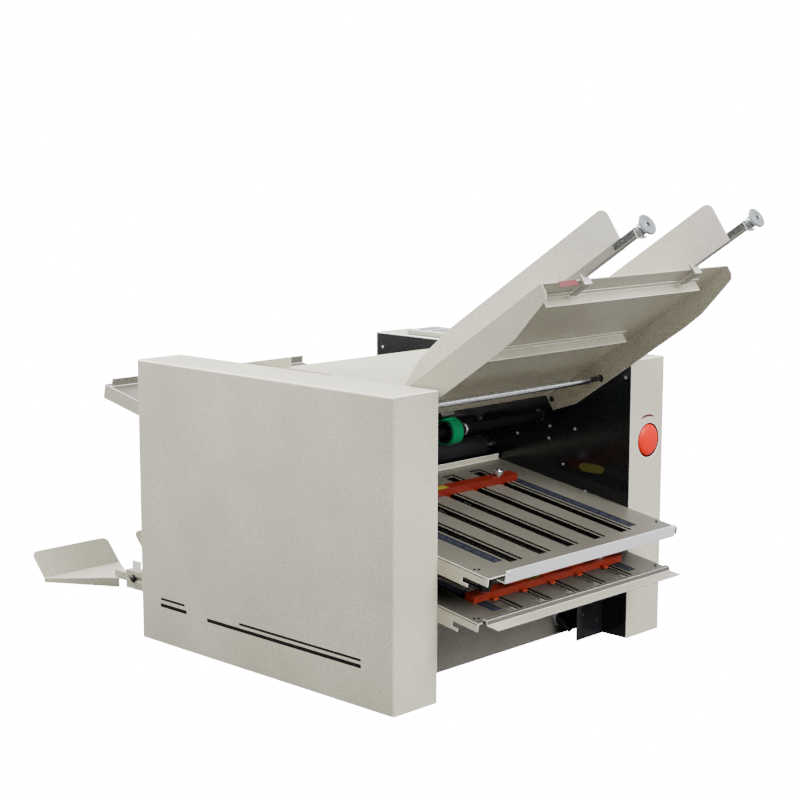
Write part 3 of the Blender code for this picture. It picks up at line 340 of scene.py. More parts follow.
def pan_screws(name, places, radius, rise, seed, finish):
    """Pan head screws of the machine, at places with the directions they face."""
    grown(name, places, pan_heads, {"Radius": radius, "Rise": rise, "Seed": seed, "Finish": finish})


def on_both_walls(spots):
    """Places on the inner faces of both side frames."""
    return [((side * frame_inner, y, z), (-side, 0, 0)) for y, z in spots for side in (1, -1)]


wall_screws = (
    (-0.045, 0.271), (-0.106, 0.289), (-0.152, 0.290), (-0.104, 0.271), (-0.131, 0.236),
    (-0.172, 0.202), (-0.240, 0.373), (0.235, 0.375), (0.225, 0.045), (-0.150, 0.020),
)
pan_screws("frame_wall_screws", on_both_walls(wall_screws), screw_radius, screw_rise, 3, zinc_plate)
bronze = plated_steel("oiled_bronze", "#2A241C", 0.4, 0.006)
bushing = {"Radius": bushing_radius, "Bore": bushing_bore, "Rise": bushing_rise}
bores = on_both_walls([*roller_axes, feed_axis])
grown("shaft_bushings", bores, bushing_group(), {**bushing, "Seed": 1, "Finish": bronze})

# Side covers: boxes folded from 2 mm sheet, open towards the frames, hung over them and
# powder coated in a warm light grey with a fine speckle. Black stripes are printed low down.
cover_edge = 0.0011
coat_grain = 0.0018
stripe_rise = 0.00004
stripes = (
    (0.205, 0.153, 0.064, 0.0032),
    (0.206, 0.149, 0.055, 0.0050),
    (0.105, -0.193, 0.053, 0.0050),
    (0.038, -0.193, 0.061, 0.0032),
)

# Polyester powder coat: warm light grey, half matt, with grains drawn at 1.8 mm so that they
# show. On the rounded bends and sheared edges it is painted near white and smoother, as a painted
# highlight.
powder_coat = sprayed_steel("speckled_powder_coat", "#B4B09C", "#8A8676", "#D6D2BE", coat_grain, 0.42)
highlight_coat = sprayed_steel("powder_coat_thin_on_edges", "#F8F7F2", "#EEECE4", "#FFFFFF", coat_grain, 0.30)
coated = [powder_coat, highlight_coat]
for node in ("left_cover", "right_cover"):
    broken_edges(node, cover_edge, coated)


def even_tint(name, colour, darker, roughness, gloss=0.5, scale=260, detail=3, ior=1.5):
    """Ink, film or moulded plastic: an even colour with a little uneven density."""
    made, tree, where = surface(name, 0.0, roughness, ior)
    density = add(tree, "ShaderNodeTexNoise", {"Scale": scale, "Detail": detail, "Vector": where})
    tint = add(tree, "ShaderNodeMix", {"data_type": "RGBA", 0: density, 6: colour, 7: darker})
    add(tree, "Principled BSDF", {"Base Color": tint, "Specular IOR Level": gloss})
    return made


def finished(name, shape, finishes):
    """The mesh of a built shape, with its finishes in their order."""
    mesh = bpy.data.meshes.new(name)
    shape.to_mesh(mesh)
    shape.free()
    for finish in finishes:
        mesh.materials.append(finish)
    return mesh


def slab_piece(name, slabs, finishes, edge, place=Matrix.Identity(4), body="machine"):
    """Slabs with rounded edges as one piece; each is its middle, its size and its finish's number."""
    shape = bmesh.new()
    for middle, size, finish in slabs:
        matrix = place @ Matrix.Translation(middle) @ Matrix.Diagonal((*size, 1))
        made = bmesh.ops.create_cube(shape, size=1, matrix=matrix)
        for face in {face for vert in made["verts"] for face in vert.link_faces}:
            face.material_index = finish
    mesh = finished(name, shape, finishes)
    mesh.shade_smooth()
    piece = in_scene(name, mesh)
    rounded(piece, edge)
    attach(piece, body)


black_ink = even_tint("black_screen_ink", "#030304", "#060607", 0.75, 0.1)
cover_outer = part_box("right_cover")[1].x
stripe_slabs = []
for start, end, height, tall in stripes:
    for side in (-1, 1):
        middle = (side * cover_outer, (start + end) / 2, height)
        stripe_slabs.append((middle, (2 * stripe_rise, abs(start - end), tall), 0))
slab_piece("cover_stripes", stripe_slabs, [black_ink], stripe_rise / 2)

# Top cover: one 1.5 mm sheet folded over the rollers, with two ears that stop paper at its
# sides. It has the same powder coat as the side covers.
broken_edges("top_cover", 0.0005, coated)

# Fold rollers: steel cores with a ground sleeve of black nitrile rubber that grips the paper.
# The journals stay bright, and the lowest roller carries the belt's pulley.
journal = 0.006
sleeve = 0.017
pulley = 0.026
pulley_width = 0.013
sleeve_end_round = 0.0006
chamfer = 0.0005


def ground_rubber(name, colour, light, roughness, pitch):
    """Ground rubber: fine lines round the roller, set by its length, and a dull gloss."""
    made, tree, where = surface(name, 0.0, roughness)
    waves = {"Scale": 0.314 / pitch, "Distortion": 1.5, "Detail": 2, "Detail Scale": 3, "Vector": where}
    lines = add(tree, "ShaderNodeTexWave", {"bands_direction": "X", **waves})
    dust = add(tree, "ShaderNodeTexNoise", {"Scale": 700, "Detail": 2, "Vector": where})
    few = {"Value": dust, "From Min": 0.55, "From Max": 0.75, "To Max": 0.5}
    pale = add(tree, "ShaderNodeMapRange", few)
    bump = add(tree, "ShaderNodeBump", {"Strength": 0.3, "Distance": 0.0001, "Height": lines})
    tint = add(tree, "ShaderNodeMix", {"data_type": "RGBA", 0: pale, 6: colour, 7: light})
    add(tree, "Principled BSDF", {"Base Color": tint, "Normal": bump})
    return made


def turned(name, profile, place, finishes, edge=0.0, steps=48):
    """A closed turned piece: radius, height and finish (0 if left out) of each step, upwards."""
    shape = bmesh.new()
    rings = []
    for radius, height, *finish in profile:
        angles = [2 * math.pi * i / steps for i in range(steps if radius else 1)]
        ring = [place @ Vector((radius * math.cos(a), radius * math.sin(a), height)) for a in angles]
        rings.append([shape.verts.new(corner) for corner in ring])
    for number in range(len(rings) - 1):
        low, high = rings[number], rings[number + 1]
        for i in range(steps):
            j = (i + 1) % steps
            corners = [low[i % len(low)], low[j % len(low)], high[j % len(high)], high[i % len(high)]]
            kept = [corner for k, corner in enumerate(corners) if corner not in corners[:k]]
            if len(kept) > 2:
                shape.faces.new(kept).material_index = (*profile[number + 1], 0)[2]
    bmesh.ops.recalc_face_normals(shape, faces=shape.faces)
    mesh = finished(name, shape, finishes)
    mesh.shade_smooth()
    mesh.set_sharp_from_angle(angle=math.radians(28))
    piece = in_scene(name, mesh)
    if edge:
        rounded(piece, edge).limit_method = "ANGLE"
    return piece


def axis_place(x, y, z, direction):
    """A place at a point, with its own Z along the direction."""
    return Matrix.Translation((x, y, z)) @ Vector(direction).to_track_quat("Z", "Y").to_matrix().to_4x4()


nitrile = ground_rubber("ground_nitrile_rubber", "#121315", "#2A2C2F", 0.30, 0.0016)
ground_steel = plated_steel("ground_shaft_steel", "#D8DBDF", 0.18, 0.003)
half = frame_inner - 0.0205
for number, axis in enumerate(roller_axes, 1):
    node = f"fold_roller_{number}"
    low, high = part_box(node)
    profile = [(0, low.x)]
    if number == 6:
        rim = low.x + pulley_width
        profile += [(pulley - chamfer, low.x), (pulley, low.x + chamfer)]
        profile += [(pulley, rim - chamfer), (pulley - chamfer, rim), (journal, rim)]
    else:
        profile += [(journal - chamfer, low.x), (journal, low.x + chamfer)]
    profile += [
        (journal, -half), (sleeve - sleeve_end_round, -half), (sleeve, -half + sleeve_end_round, 1),
        (sleeve, half - sleeve_end_round, 1), (sleeve - sleeve_end_round, half, 1), (journal, half),
        (journal, high.x - chamfer), (journal - chamfer, high.x), (0, high.x),
    ]
    piece = turned(f"{node}_sleeve", profile, axis_place(0, *axis, (1, 0, 0)), [ground_steel, nitrile])
    wear(piece, node)

# Gears and belt drive: steel spur gears on the roller journals, a toothed belt with its
# pulleys, and the motor in the base. They are bare or oiled steel and black rubber.
oiled_steel = plated_steel("oiled_gear_steel", "#A9ABA8", 0.34, 0.003)
for number in range(2, 7):
    frame["nodes"][f"roller_gear_{number}"].data.materials[0] = oiled_steel
motor_enamel = sprayed_steel("black_motor_enamel", "#26282B", "#1A1B1D", "#34363A", 0.0012, 0.4)
frame["nodes"]["drive_motor"].data.materials[0] = motor_enamel
frame["nodes"]["motor_pulley"].data.materials[0] = oiled_steel
belt_rubber = ground_rubber("moulded_neoprene_belt", "#1A1B1C", "#2C2D2E", 0.6, 0.004)
frame["nodes"]["drive_belt"].data.materials[0] = belt_rubber

# Feed roller: a tyre of green polyurethane on a blackened hub in the middle of the feed shaft,
# where it pulls the sheets off the stack. A sleeve with a bright rim spaces it on the right.
feed_half = 0.011

# Cast and ground polyurethane: a saturated matt green with fine lines
green_polyurethane = ground_rubber("cast_green_polyurethane", "#007848", "#04865A", 0.5, 0.0022)
add(green_polyurethane.node_tree, "Principled BSDF", {"Specular IOR Level": 0.15})
feed_place = axis_place(0.0036, *feed_axis, (1, 0, 0))
profile = [
    (0.0064, -feed_half), (0.0146, -feed_half), (0.0149, -feed_half + 0.0004),
    (0.0149, -feed_half + 0.0010, 1), (0.0176, -feed_half + 0.0004, 1),
    (0.0183, -feed_half + 0.0012, 1), (0.0183, feed_half - 0.0012, 1),
    (0.0176, feed_half - 0.0004, 1), (0.0149, feed_half - 0.0010, 1),
    (0.0149, feed_half - 0.0004), (0.0146, feed_half), (0.0064, feed_half),
    (0.0064, -feed_half),
]
feed_finishes = [black_lacquer, green_polyurethane]
feed_sleeve = turned("feed_roller_sleeve", profile, feed_place, feed_finishes, steps=64)
wear(feed_sleeve, "feed_roller")
black_oxide = even_tint("black_oxide", "#0A0A0C", "#060607", 0.8, 0.1)
frame["nodes"]["feed_shaft"].data.materials[0] = black_oxide
profile = [
    (0.0061, feed_half + 0.0002), (0.0070, feed_half + 0.0002),
    (0.0070, feed_half + 0.0160), (0.0078, feed_half + 0.0160, 1),
    (0.0082, feed_half + 0.0165, 1), (0.0082, feed_half + 0.0190, 1),
    (0.0078, feed_half + 0.0195, 1), (0.0061, feed_half + 0.0195, 1),
    (0.0061, feed_half + 0.0002),
]
spacer = turned("feed_roller_spacer", profile, feed_place, [black_oxide, zinc_plate], steps=40)
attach(spacer, "feed_roller")

# Separator: a rubber pad on a stem under the top cover, which holds back all but one sheet.
broken_edges("separator_pad", 0.0008, [nitrile])

# Tie rod: bright ground steel from frame to frame; the feed table hangs on it. Its right end
# is turned down and blackened where it goes through the table's flange.
table = Matrix.Translation((0, -0.194, 0.397)) @ Matrix.Rotation(math.radians(-33.85), 4, "X")
rod_radius = 0.0050
neck_radius = 0.0035
rod_low, rod_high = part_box("front_tie_rod")
rod_middle = (rod_low + rod_high) / 2
rod_place = axis_place(0, rod_middle.y, rod_middle.z, (1, 0, 0))
profile = [
    (0, -rod_high.x, 1), (neck_radius, -rod_high.x, 1), (neck_radius, -0.165, 1),
    (rod_radius, -0.165), (rod_radius, 0.163), (neck_radius, 0.163),
    (neck_radius, rod_high.x, 1), (0, rod_high.x, 1),
]
rod = turned("tie_rod_ground", profile, rod_place, [ground_steel, black_lacquer], edge=0.0003)
wear(rod, "front_tie_rod")

# Feed table: a deck of 1.5 mm sheet with two deep flanges, and two angles spot welded under
# it. The powder coat is the covers', and in use a stack of paper rests on the deck.
broken_edges("feed_table", 0.0010, coated)
for node in ("table_stiffener_upper", "table_stiffener_lower"):
    broken_edges(node, 0.0005, coated)
flange_screws = [(table @ Vector((side * 0.1895, 0.1035, -0.0109)), (-side, 0, 0)) for side in (-1, 1)]
pan_screws("table_flange_screws", flange_screws, 0.0044, 0.0028, 8, black_lacquer)
red_film = even_tint("red_polyester_film", "#7C4145", "#72383C", 0.5)
size_mark = [((-0.1435, -0.2541, -0.0038), (0.033, 0.0003, 0.0074), 0)]
slab_piece("size_mark", size_mark, [red_film], 0.0001, table)

# Paper guides: tall sheets folded up from a base bar that slides across the table. A white
# clip hooks under the deck's end, and a plate closes the bar where the screw goes in.
white_nylon = even_tint("moulded_white_nylon", "#E6E4DE", "#DCDAD3", 0.4)
# The guides' sheets take a lighter copy of the covers' coat, as painted light.
lit_guide_coat = sprayed_steel("unworn_powder_coat", "#D3CFC0", "#AFAB9D", "#EEEADD", coat_grain, 0.42)
soiled_coat = sprayed_steel(
    "powder_coat_soiled_by_hands", "#8A877B", "#6E6B60", "#A29F93", coat_grain, 0.42
)
channel_shade = plated_steel("phosphated_steel", "#3C3C38", 0.5, 0.0012)
bar_top = 0.0125
guide_middle = 0.113


def guide_finish(normal, centre):
    """The base bar of a guide is handled more than its sheet."""
    return int((table.inverted() @ centre).z < bar_top)


for side, node, body in ((-1, "left_paper_guide", "left_guide"), (1, "right_paper_guide", "right_guide")):
    broken_edges(node, 0.0006, [lit_guide_coat, soiled_coat, highlight_coat], guide_finish)
    seen_face = -0.1181 if side < 0 else 0.1079
    slabs = [
        ((side * guide_middle, -0.3518, 0.0035), (0.0135, 0.0014, 0.0150), 0),
        ((side * guide_middle, -0.3545, -0.0040), (0.0090, 0.0050, 0.0014), 0),
        ((side * guide_middle, -0.2579, -0.0026), (0.0136, 0.0012, 0.0138), 0),
        # The thin near-black strip on the bar's seen side, near its end, is painted shade of the bar's
        # channel.
        ((seen_face, -0.3325, 0.0062), (0.0004, 0.0350, 0.0084), 1),
    ]
    slab_piece(f"{node}_fittings", slabs, [white_nylon, channel_shade], 0.0002, table, body)

# Guide thumbscrews: knurled discs on a threaded stem, turned from steel and zinc plated.
# The disc has a hub with a round recess, and a round collar stands for the nut that locks the stem in the
# bar.
screw_axis = (0, -0.83051, 0.55702)


def knurl_group():
    """Fine ridges round a rim."""
    tree, source = node_group("knurled_rims", ("Radius", "Rise", "Count"))
    rim = add(tree, "GeometryNodeMeshCircle", {"Vertices": source["Count"], "Radius": source["Radius"]})
    place_of = add(tree, "GeometryNodeInputPosition")
    outward = add(tree, "FunctionNodeAlignRotationToVector", {"axis": "X", "Vector": place_of})
    wide = add(tree, "ShaderNodeMath", {"operation": "MULTIPLY", 0: source["Radius"], 1: 0.045})
    size = add(tree, "ShaderNodeCombineXYZ", {0: wide, 1: wide, 2: source["Rise"]})
    ridge = add(tree, "GeometryNodeMeshCube", {"Size": size})
    diamond = add(tree, "GeometryNodeTransform", {"Rotation": (0, 0, math.pi / 4), "Geometry": ridge})
    seats = {"Points": rim, "Instance": diamond, "Rotation": outward}
    set_round = add(tree, "GeometryNodeInstanceOnPoints", seats)
    real = add(tree, "GeometryNodeRealizeInstances", {"Geometry": set_round})
    return close_group(tree, seat_on_points(tree, source, real))


knurls = knurl_group()
turned_zinc = plated_steel("worn_zinc_plated_steel", "#AEB4B9", 0.24, 0.002)
for side, node in ((-1, "left_guide_thumbscrew"), (1, "right_guide_thumbscrew")):
    foot = Vector((side * guide_middle, -0.48284, 0.59704))
    place = axis_place(*foot, screw_axis)
    profile = [
        (0, 0.0003), (0.0036, 0.0003), (0.0040, 0.0009), (0.0036, 0.0015), (0.0040, 0.0021),
        (0.0036, 0.0027), (0.0040, 0.0033), (0.0036, 0.0039), (0.0070, 0.0039), (0.0076, 0.0045),
        (0.0076, 0.0085), (0.0060, 0.0090), (0.0056, 0.0125), (0.0080, 0.0140), (0.0126, 0.0140),
        (0.0129, 0.0144), (0.0129, 0.0171), (0.0125, 0.0175), (0.0072, 0.0175), (0.0066, 0.0169),
        (0.0042, 0.0169), (0.0038, 0.0175), (0.0030, 0.0175), (0.0027, 0.0150), (0, 0.0150),
    ]
    piece = turned(f"{node}_turned", profile, place, [turned_zinc], steps=40)
    wear(piece, node)
    middle = foot + Vector(screw_axis) * 0.01575
    ridges = {"Radius": 0.0128, "Rise": 0.0026, "Count": 48, "Seed": 2, "Finish": turned_zinc}
    body = "left_guide_screw" if side < 0 else "right_guide_screw"
    grown(f"{node}_knurl", [(middle, screw_axis)], knurls, ridges, body)

# Fold plates: each is a slotted upper sheet with two flanges over a slotted floor, the
# pocket that a sheet runs into. They are folded from coated steel. The floors are drawn near
# black as painted shade, the lower front one lighter as painted light, and the upper faces take
# a darker coat as painted shade.
all_plates = ("upper_front", "lower_front", "upper_rear", "lower_rear")
front_slope = math.atan(0.164)
plate_frames = {
    "upper_front": Matrix.Translation((0, -0.009, 0.2292)) @ Matrix.Rotation(front_slope, 4, "X"),
    "lower_front": Matrix.Translation((0, -0.009, 0.1671)) @ Matrix.Rotation(front_slope, 4, "X"),
}
slot_side = 0.16
slot_start = 0.03
slot_end = 0.318
bead_start = 0.3185
lip_start = 0.328
lower_plate_top = 0.14
end_wall = 0.32


def plate_finish(normal, centre):
    """Slot walls take the near-black painted shade; upper faces, the end wall's front, and the lower front
    plate's bead and lip but for the lip's upper face, take the darker coat as painted shade.
    """
    looks_up = normal.z > 0.7
    if abs(centre.x) < slot_side and slot_start < abs(centre.y) < slot_end and abs(normal.z) < 0.5:
        return 1
    if centre.y < -bead_start and centre.z < lower_plate_top:
        return 0 if centre.y < -lip_start and looks_up else 2
    if centre.y > end_wall and normal.y < -0.8:
        return 2
    return 2 if looks_up else 0


# Near black painted shade in the slots' walls and on the plates' floors.
painted_black_shade = even_tint("oiled_cut_edges", "#050505", "#090908", 0.8, 0.1)
lit_floor_coat = sprayed_steel("paper_polished_floor", "#8F8C81", "#7C796F", "#A19E94", coat_grain, 0.32)
# Darker copies of the coat, as painted shade on the plates' upper faces, deeper on the lower plates that
# lie under the upper ones.
shaded_coat = sprayed_steel(
    "powder_coat_rubbed_by_paper", "#5C5A52", "#46443D", "#747268", coat_grain, 0.38
)
deep_shaded_coat = sprayed_steel(
    "powder_coat_dulled_by_paper_dust", "#45433D", "#33322D", "#59574F", coat_grain, 0.45
)
for which in all_plates:
    finishes = [powder_coat, painted_black_shade, deep_shaded_coat if which.startswith("lower") else shaded_coat, highlight_coat]
    broken_edges(f"{which}_plate", 0.0004, finishes, plate_finish)
    frame["nodes"][f"{which}_plate_floor"].data.materials[0] = painted_black_shade
# The lower front plate's floor takes a lighter coat, as painted light.
frame["nodes"]["lower_front_plate_floor"].data.materials[0] = lit_floor_coat

# Rules: strips of printed polyester film, glued on the upper sheets of the two front plates.
# Their ticks are drawn 4 mm apart so that they show. Small screws close the plates' corners.
rule_width = 0.0175
rule_start = 0.075
rule_end = 0.295
rule_middle = 0.1395
seam_width = 0.0011


def tick_group():
    """A row of ticks along -Y, each fourth one longer, starting from the row's own edge."""
    tree, source = node_group("scale_ticks", ("Count", "Pitch", "Reach", "Breadth"))
    step = add(tree, "ShaderNodeMath", {"operation": "MULTIPLY", 0: source["Pitch"], 1: -1.0})
    offset = add(tree, "ShaderNodeCombineXYZ", {1: step})
    row = add(tree, "GeometryNodeMeshLine", {"Count": source["Count"], "Offset": offset})
    size = add(tree, "ShaderNodeCombineXYZ", {2: 0.00006, 0: source["Reach"], 1: source["Breadth"]})
    tick = add(tree, "GeometryNodeMeshCube", {"Size": size})
    half = add(tree, "ShaderNodeMath", {"operation": "MULTIPLY", 0: source["Reach"], 1: 0.5})
    inward = add(tree, "ShaderNodeCombineXYZ", {0: half})
    edged = add(tree, "GeometryNodeTransform", {"Geometry": tick, "Translation": inward})
    number = add(tree, "GeometryNodeInputIndex")
    rest = add(tree, "ShaderNodeMath", {"operation": "MODULO", 1: 4.0, 0: number})
    fourth = add(tree, "ShaderNodeMath", {"operation": "LESS_THAN", 1: 0.5, 0: rest})
    longer = add(tree, "ShaderNodeMath", {"operation": "MULTIPLY_ADD", 1: 0.7, 2: 1.0, 0: fourth})
    scale = add(tree, "ShaderNodeCombineXYZ", {1: 1.0, 2: 1.0, 0: longer})
    seats = {"Points": row, "Instance": edged, "Scale": scale}
    set_in_row = add(tree, "GeometryNodeInstanceOnPoints", seats)
    real = add(tree, "GeometryNodeRealizeInstances", {"Geometry": set_in_row})
    last = add(tree, "GeometryNodeSetMaterial", {"Geometry": real, "Material": source["Finish"]})
    return close_group(tree, last)


def figures(name, items, finish, place):
    """Generic numbers as one thin piece; each is its text, its place and its height."""
    shape = bmesh.new()
    for text, x, y, height in items:
        curve = bpy.data.curves.new(name, "FONT")
        curve.body = text
        curve.size = height
        curve.align_x = "CENTER"
        curve.align_y = "CENTER"
        curve.resolution_u = 2
        writing = in_scene(name, curve)
        graph = bpy.context.evaluated_depsgraph_get()
        flat = bpy.data.meshes.new_from_object(writing.evaluated_get(graph))
        flat.transform(place @ Matrix.Translation((x, y, 0)) @ Matrix.Rotation(math.pi / 2, 4, "Z"))
        shape.from_mesh(flat)
        bpy.data.objects.remove(writing)
        bpy.data.curves.remove(curve)
        bpy.data.meshes.remove(flat)
    piece = in_scene(name, finished(name, shape, [finish]))
    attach(piece, "machine")


rule_film = even_tint("grey_blue_polyester_film", "#2E303A", "#24262E", 0.7, 0.1)
blue_ink = even_tint("dark_blue_screen_ink", "#03030F", "#050615", 0.6, 0.1)
seam_shade = even_tint("shaded_seam", "#2A2925", "#34332E", 0.8)
ticks = tick_group()
tick_row = {"Count": 55, "Pitch": 0.0040, "Reach": 0.0045, "Breadth": 0.0020, "Seed": 1, "Finish": blue_ink}
rule_size = (rule_width, rule_end - rule_start, 0.00012)
first_tick = -rule_start - 0.001
for which, plate_frame in plate_frames.items():
    along = -(rule_start + rule_end) / 2
    slabs = [((side * rule_middle, along, 0.00006), rule_size, 0) for side in (-1, 1)]
    slab_piece(f"{which}_rules", slabs, [rule_film], 0.00002, plate_frame)
    numbers = []
    for side in (-1, 1):
        for row, facing in (("outer", 1), ("inner", -1)):
            edge = side * rule_middle - facing * (rule_width / 2 - 0.0006)
            turn = Matrix.Diagonal((facing, 1, facing, 1))
            place = plate_frame @ Matrix.Translation((edge, first_tick, 0.00016)) @ turn
            name = f"{which}_ticks_{'left' if side < 0 else 'right'}_{row}"
            grown(name, [], ticks, tick_row, place=place)
        for number in range(1, 22):
            numbers.append((str(number), side * rule_middle, first_tick - 0.010 * number, 0.0046))
    on_film = plate_frame @ Matrix.Translation((0, 0, 0.00018))
    figures(f"{which}_figures", numbers, blue_ink, on_film)
    length = 0.320 if which == "upper_front" else 0.306
    # Thin dark strips along both flanges, and on the lower front plate one at the foot of the bead, are
    # painted shade lines.
    seam = (0.0002, length, seam_width)
    seams = [((side * 0.19655, -length / 2 - 0.004, -0.0016), seam, 0) for side in (-1, 1)]
    if which == "lower_front":
        seams.append(((0, -0.3216, -0.0008), (0.376, 0.0016, 0.0012), 0))
    slab_piece(f"{which}_seams", seams, [seam_shade], 0.00005, plate_frame)
    up = plate_frame.to_3x3() @ Vector((0, 0, 1))
    spots = []
    for side in (-1, 1):
        for x, along in ((0.1885, 0.2985), (0.1835, 0.3015), (0.1710, 0.3230)):
            if along < length:
                spots.append((plate_frame @ Vector((side * x, -along, 0)), up))
    pan_screws(f"{which}_screws", spots, 0.0019, 0.0011, 5, black_lacquer)

# Paper stops: bars of sheet across the plates with a finger through every wide slot, in
# orange red lacquer. They slide along the plate, and a screw with a knurled head clamps each.
stop_lacquer = sprayed_steel("orange_red_lacquer", "#651709", "#4E1007", "#802515", 0.0012, 0.36)
# A lighter copy of the lacquer: painted highlight on the stops' rounded edges, and painted light all over
# the lower front stop.
lit_lacquer = sprayed_steel(
    "orange_red_lacquer_thin_on_edges", "#9E301C", "#862614", "#B6452C", 0.0012, 0.30
)
for which in all_plates:
    coat = lit_lacquer if which == "lower_front" else stop_lacquer
    broken_edges(f"{which}_stop", 0.0008, [coat, lit_lacquer])
lower_place = plate_frames["lower_front"]
pad_size = (0.0090, 0.0080, 0.0036)
pads = [((x, -0.2700, 0.0022), pad_size, 0) for x in (-0.1187, -0.0617, -0.0047, 0.0523, 0.1093)]
pad_lacquer = sprayed_steel("orange_lacquer", "#9A2E10", "#86260C", "#AE3F1C", 0.0012, 0.42)
slab_piece(
    "lower_front_stop_pads", pads, [pad_lacquer], 0.0012, lower_place, "lower_front_stop"
)
yellow_film = even_tint("yellow_polyester_film", "#8D8730", "#7E7829", 0.4)
for which, middle, size in (
    ("upper_front", (-0.020, -0.078, 0.01035), (0.030, 0.011, 0.0002)),
    ("lower_front", (-0.030, -0.258, 0.01035), (0.024, 0.010, 0.0002)),
):
    stop = f"{which}_stop"
    place = plate_frames[which]
    slab_piece(f"{stop}_mark", [(middle, size, 0)], [yellow_film], 0.00008, place, stop)

moulded_nylon = even_tint("moulded_black_nylon", "#141517", "#1E1F21", 0.35)


def clamp_screw(name, base, direction, head_radius, head_height, finishes, ridges, body):
    """A turned clamp screw with a ridged head, a raised middle and its washer."""
    start = 0.0106
    top = start + head_height
    profile = [
        (0, 0.0003, 1), (0.0019, 0.0003, 1), (0.0019, start, 1), (head_radius * 0.82, start, 1),
        (head_radius * 0.86, start + 0.0010, 1), (head_radius * 0.60, start + 0.0012, 1),
        (head_radius * 0.60, start + 0.0022), (head_radius * 0.92, start + 0.0024),
        (head_radius * 0.96, start + 0.0030), (head_radius * 0.96, top - 0.0014),
        (head_radius * 0.88, top - 0.0006), (head_radius * 0.45, top - 0.0004),
        (head_radius * 0.42, top, 1), (0, top, 1),
    ]
    place = axis_place(*base, direction)
    piece = turned(name, profile, place, finishes, steps=36)
    rise = head_height - 0.0044
    middle = Vector(base) + Vector(direction).normalized() * (start + 0.0030 + rise / 2)
    values = {"Radius": head_radius * 0.95, "Rise": rise, "Count": ridges, "Seed": 4, "Finish": finishes[0]}
    grown(f"{name}_ridges", [(middle, direction)], knurls, values, body)
    return piece


front_up = tuple(plate_frames["upper_front"].to_3x3() @ Vector((0, 0, 1)))
rear_up = (0, -0.20269, 0.97924)
small_head = (0.0070, 0.009, [zinc_plate, zinc_plate], 32)
large_head = (0.0090, 0.014, [moulded_nylon, zinc_plate], 16)
for stop, base, direction, head in (
    ("upper_front_stop", (0.1035, -0.08597, 0.21658), front_up, small_head),
    ("lower_front_stop", (-0.126, -0.2636, 0.12535), front_up, large_head),
    ("upper_rear_stop", (0.1035, 0.24485, 0.29784), rear_up, small_head),
):
    body = f"{stop}_screw"
    wear(clamp_screw(f"{stop}_clamp", base, direction, *head, body), body)
second_base = tuple(lower_place @ Vector((0.110, -0.258, 0)))
second = clamp_screw("lower_front_stop_second", second_base, front_up, *small_head, "lower_front_stop")
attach(second, "lower_front_stop")

# Front bar: a satin aluminium angle riveted across the front of the upper plate, extruded,
# brushed along its length and anodised clear. The long fine scratches run along X.
satin_aluminium, tree, where = surface("brushed_anodised_aluminium", 0.7, 0.3)
stretch = add(tree, "ShaderNodeMapping", {"Scale": (6, 900, 900), "Vector": where})
brushing = {"Scale": 1.5, "Detail": 4, "Roughness": 0.7, "Vector": stretch}
scratches = add(tree, "ShaderNodeTexNoise", brushing)
tint = add(tree, "ShaderNodeMix", {"data_type": "RGBA", 0: scratches, 6: "#E2E4EC", 7: "#FFFFFF"})
rough = add(tree, "ShaderNodeMapRange", {"Value": scratches, "To Min": 0.34, "To Max": 0.5})
bump = add(tree, "ShaderNodeBump", {"Strength": 0.15, "Distance": 0.0001, "Height": scratches})
add(tree, "Principled BSDF", {"Base Color": tint, "Roughness": rough, "Normal": bump})
broken_edges("upper_front_bar", 0.0005, [satin_aluminium])
bar_face = plate_frames["upper_front"].to_3x3() @ Vector((0, -1, 0))
rivets = [(plate_frames["upper_front"] @ Vector((x, -0.3311, 0.0020)), bar_face) for x in (-0.1605, 0.1800)]
pan_screws("front_bar_rivets", rivets, 0.0022, 0.0010, 2, satin_aluminium)

# Corner bracket and cable gland: a black folded bracket beside the base pan with two small
# screws, and a moulded gland with a drooping rubber sleeve for the cord.
broken_edges("corner_bracket", 0.0005, [black_lacquer])
broken_edges("cable_gland", 0.0006, [moulded_nylon])
bracket_screws = [((x, -0.208, z), (0, -1, 0)) for x, z in ((0.1515, 0.0352), (0.1830, 0.0204))]
pan_screws("corner_bracket_screws", bracket_screws, 0.0034, 0.0018, 6, black_lacquer)
grey_nylon = even_tint("moulded_grey_nylon", "#A4A6A8", "#94969A", 0.45)
profile = [
    (0.0090, 0.0002), (0.0105, 0.0002), (0.0112, 0.0008), (0.0112, 0.0052), (0.0105, 0.0058),
    (0.0090, 0.0058), (0.0090, 0.0002),
]
gland_place = axis_place(0.143, -0.1663, 0.026, (0, -1, 0))
gland_nut = turned("cable_gland_nut", profile, gland_place, [grey_nylon], steps=6)
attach(gland_nut, "machine")

# Emergency stop: a domed red button in a round hole of the right cover's front, guided by a
# black ring behind the sheet. Both are moulded plastic, and the button is pushed in by hand.
stop_low, stop_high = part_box("emergency_stop_button")
stop_x = (stop_low.x + stop_high.x) / 2
stop_z = (stop_low.z + stop_high.z) / 2
cover_front = -0.250

# Glossy moulded plastic: a faint flow mottle and a soft gloss
glossy = {"gloss": 0.2, "scale": 60, "detail": 2, "ior": 1.53}
red_plastic = even_tint("moulded_red_abs", "#CC1500", "#BA1000", 0.45, **glossy)
cap_place = axis_place(stop_x, cover_front, stop_z, (0, -1, 0))
profile = [
    (0, -0.0158), (0.0222, -0.0158), (0.0228, -0.0152), (0.0229, -0.0026), (0.0226, -0.0014),
    (0.0218, -0.0002), (0.0204, 0.0010), (0.0182, 0.0021), (0.0150, 0.0030), (0.0110, 0.0038),
    (0.0060, 0.0043), (0, 0.0045),
]
cap = turned("emergency_stop_cap", profile, cap_place, [red_plastic], steps=64)
wear(cap, "emergency_stop_button")
broken_edges("emergency_stop_collar", 0.0004, [moulded_nylon])
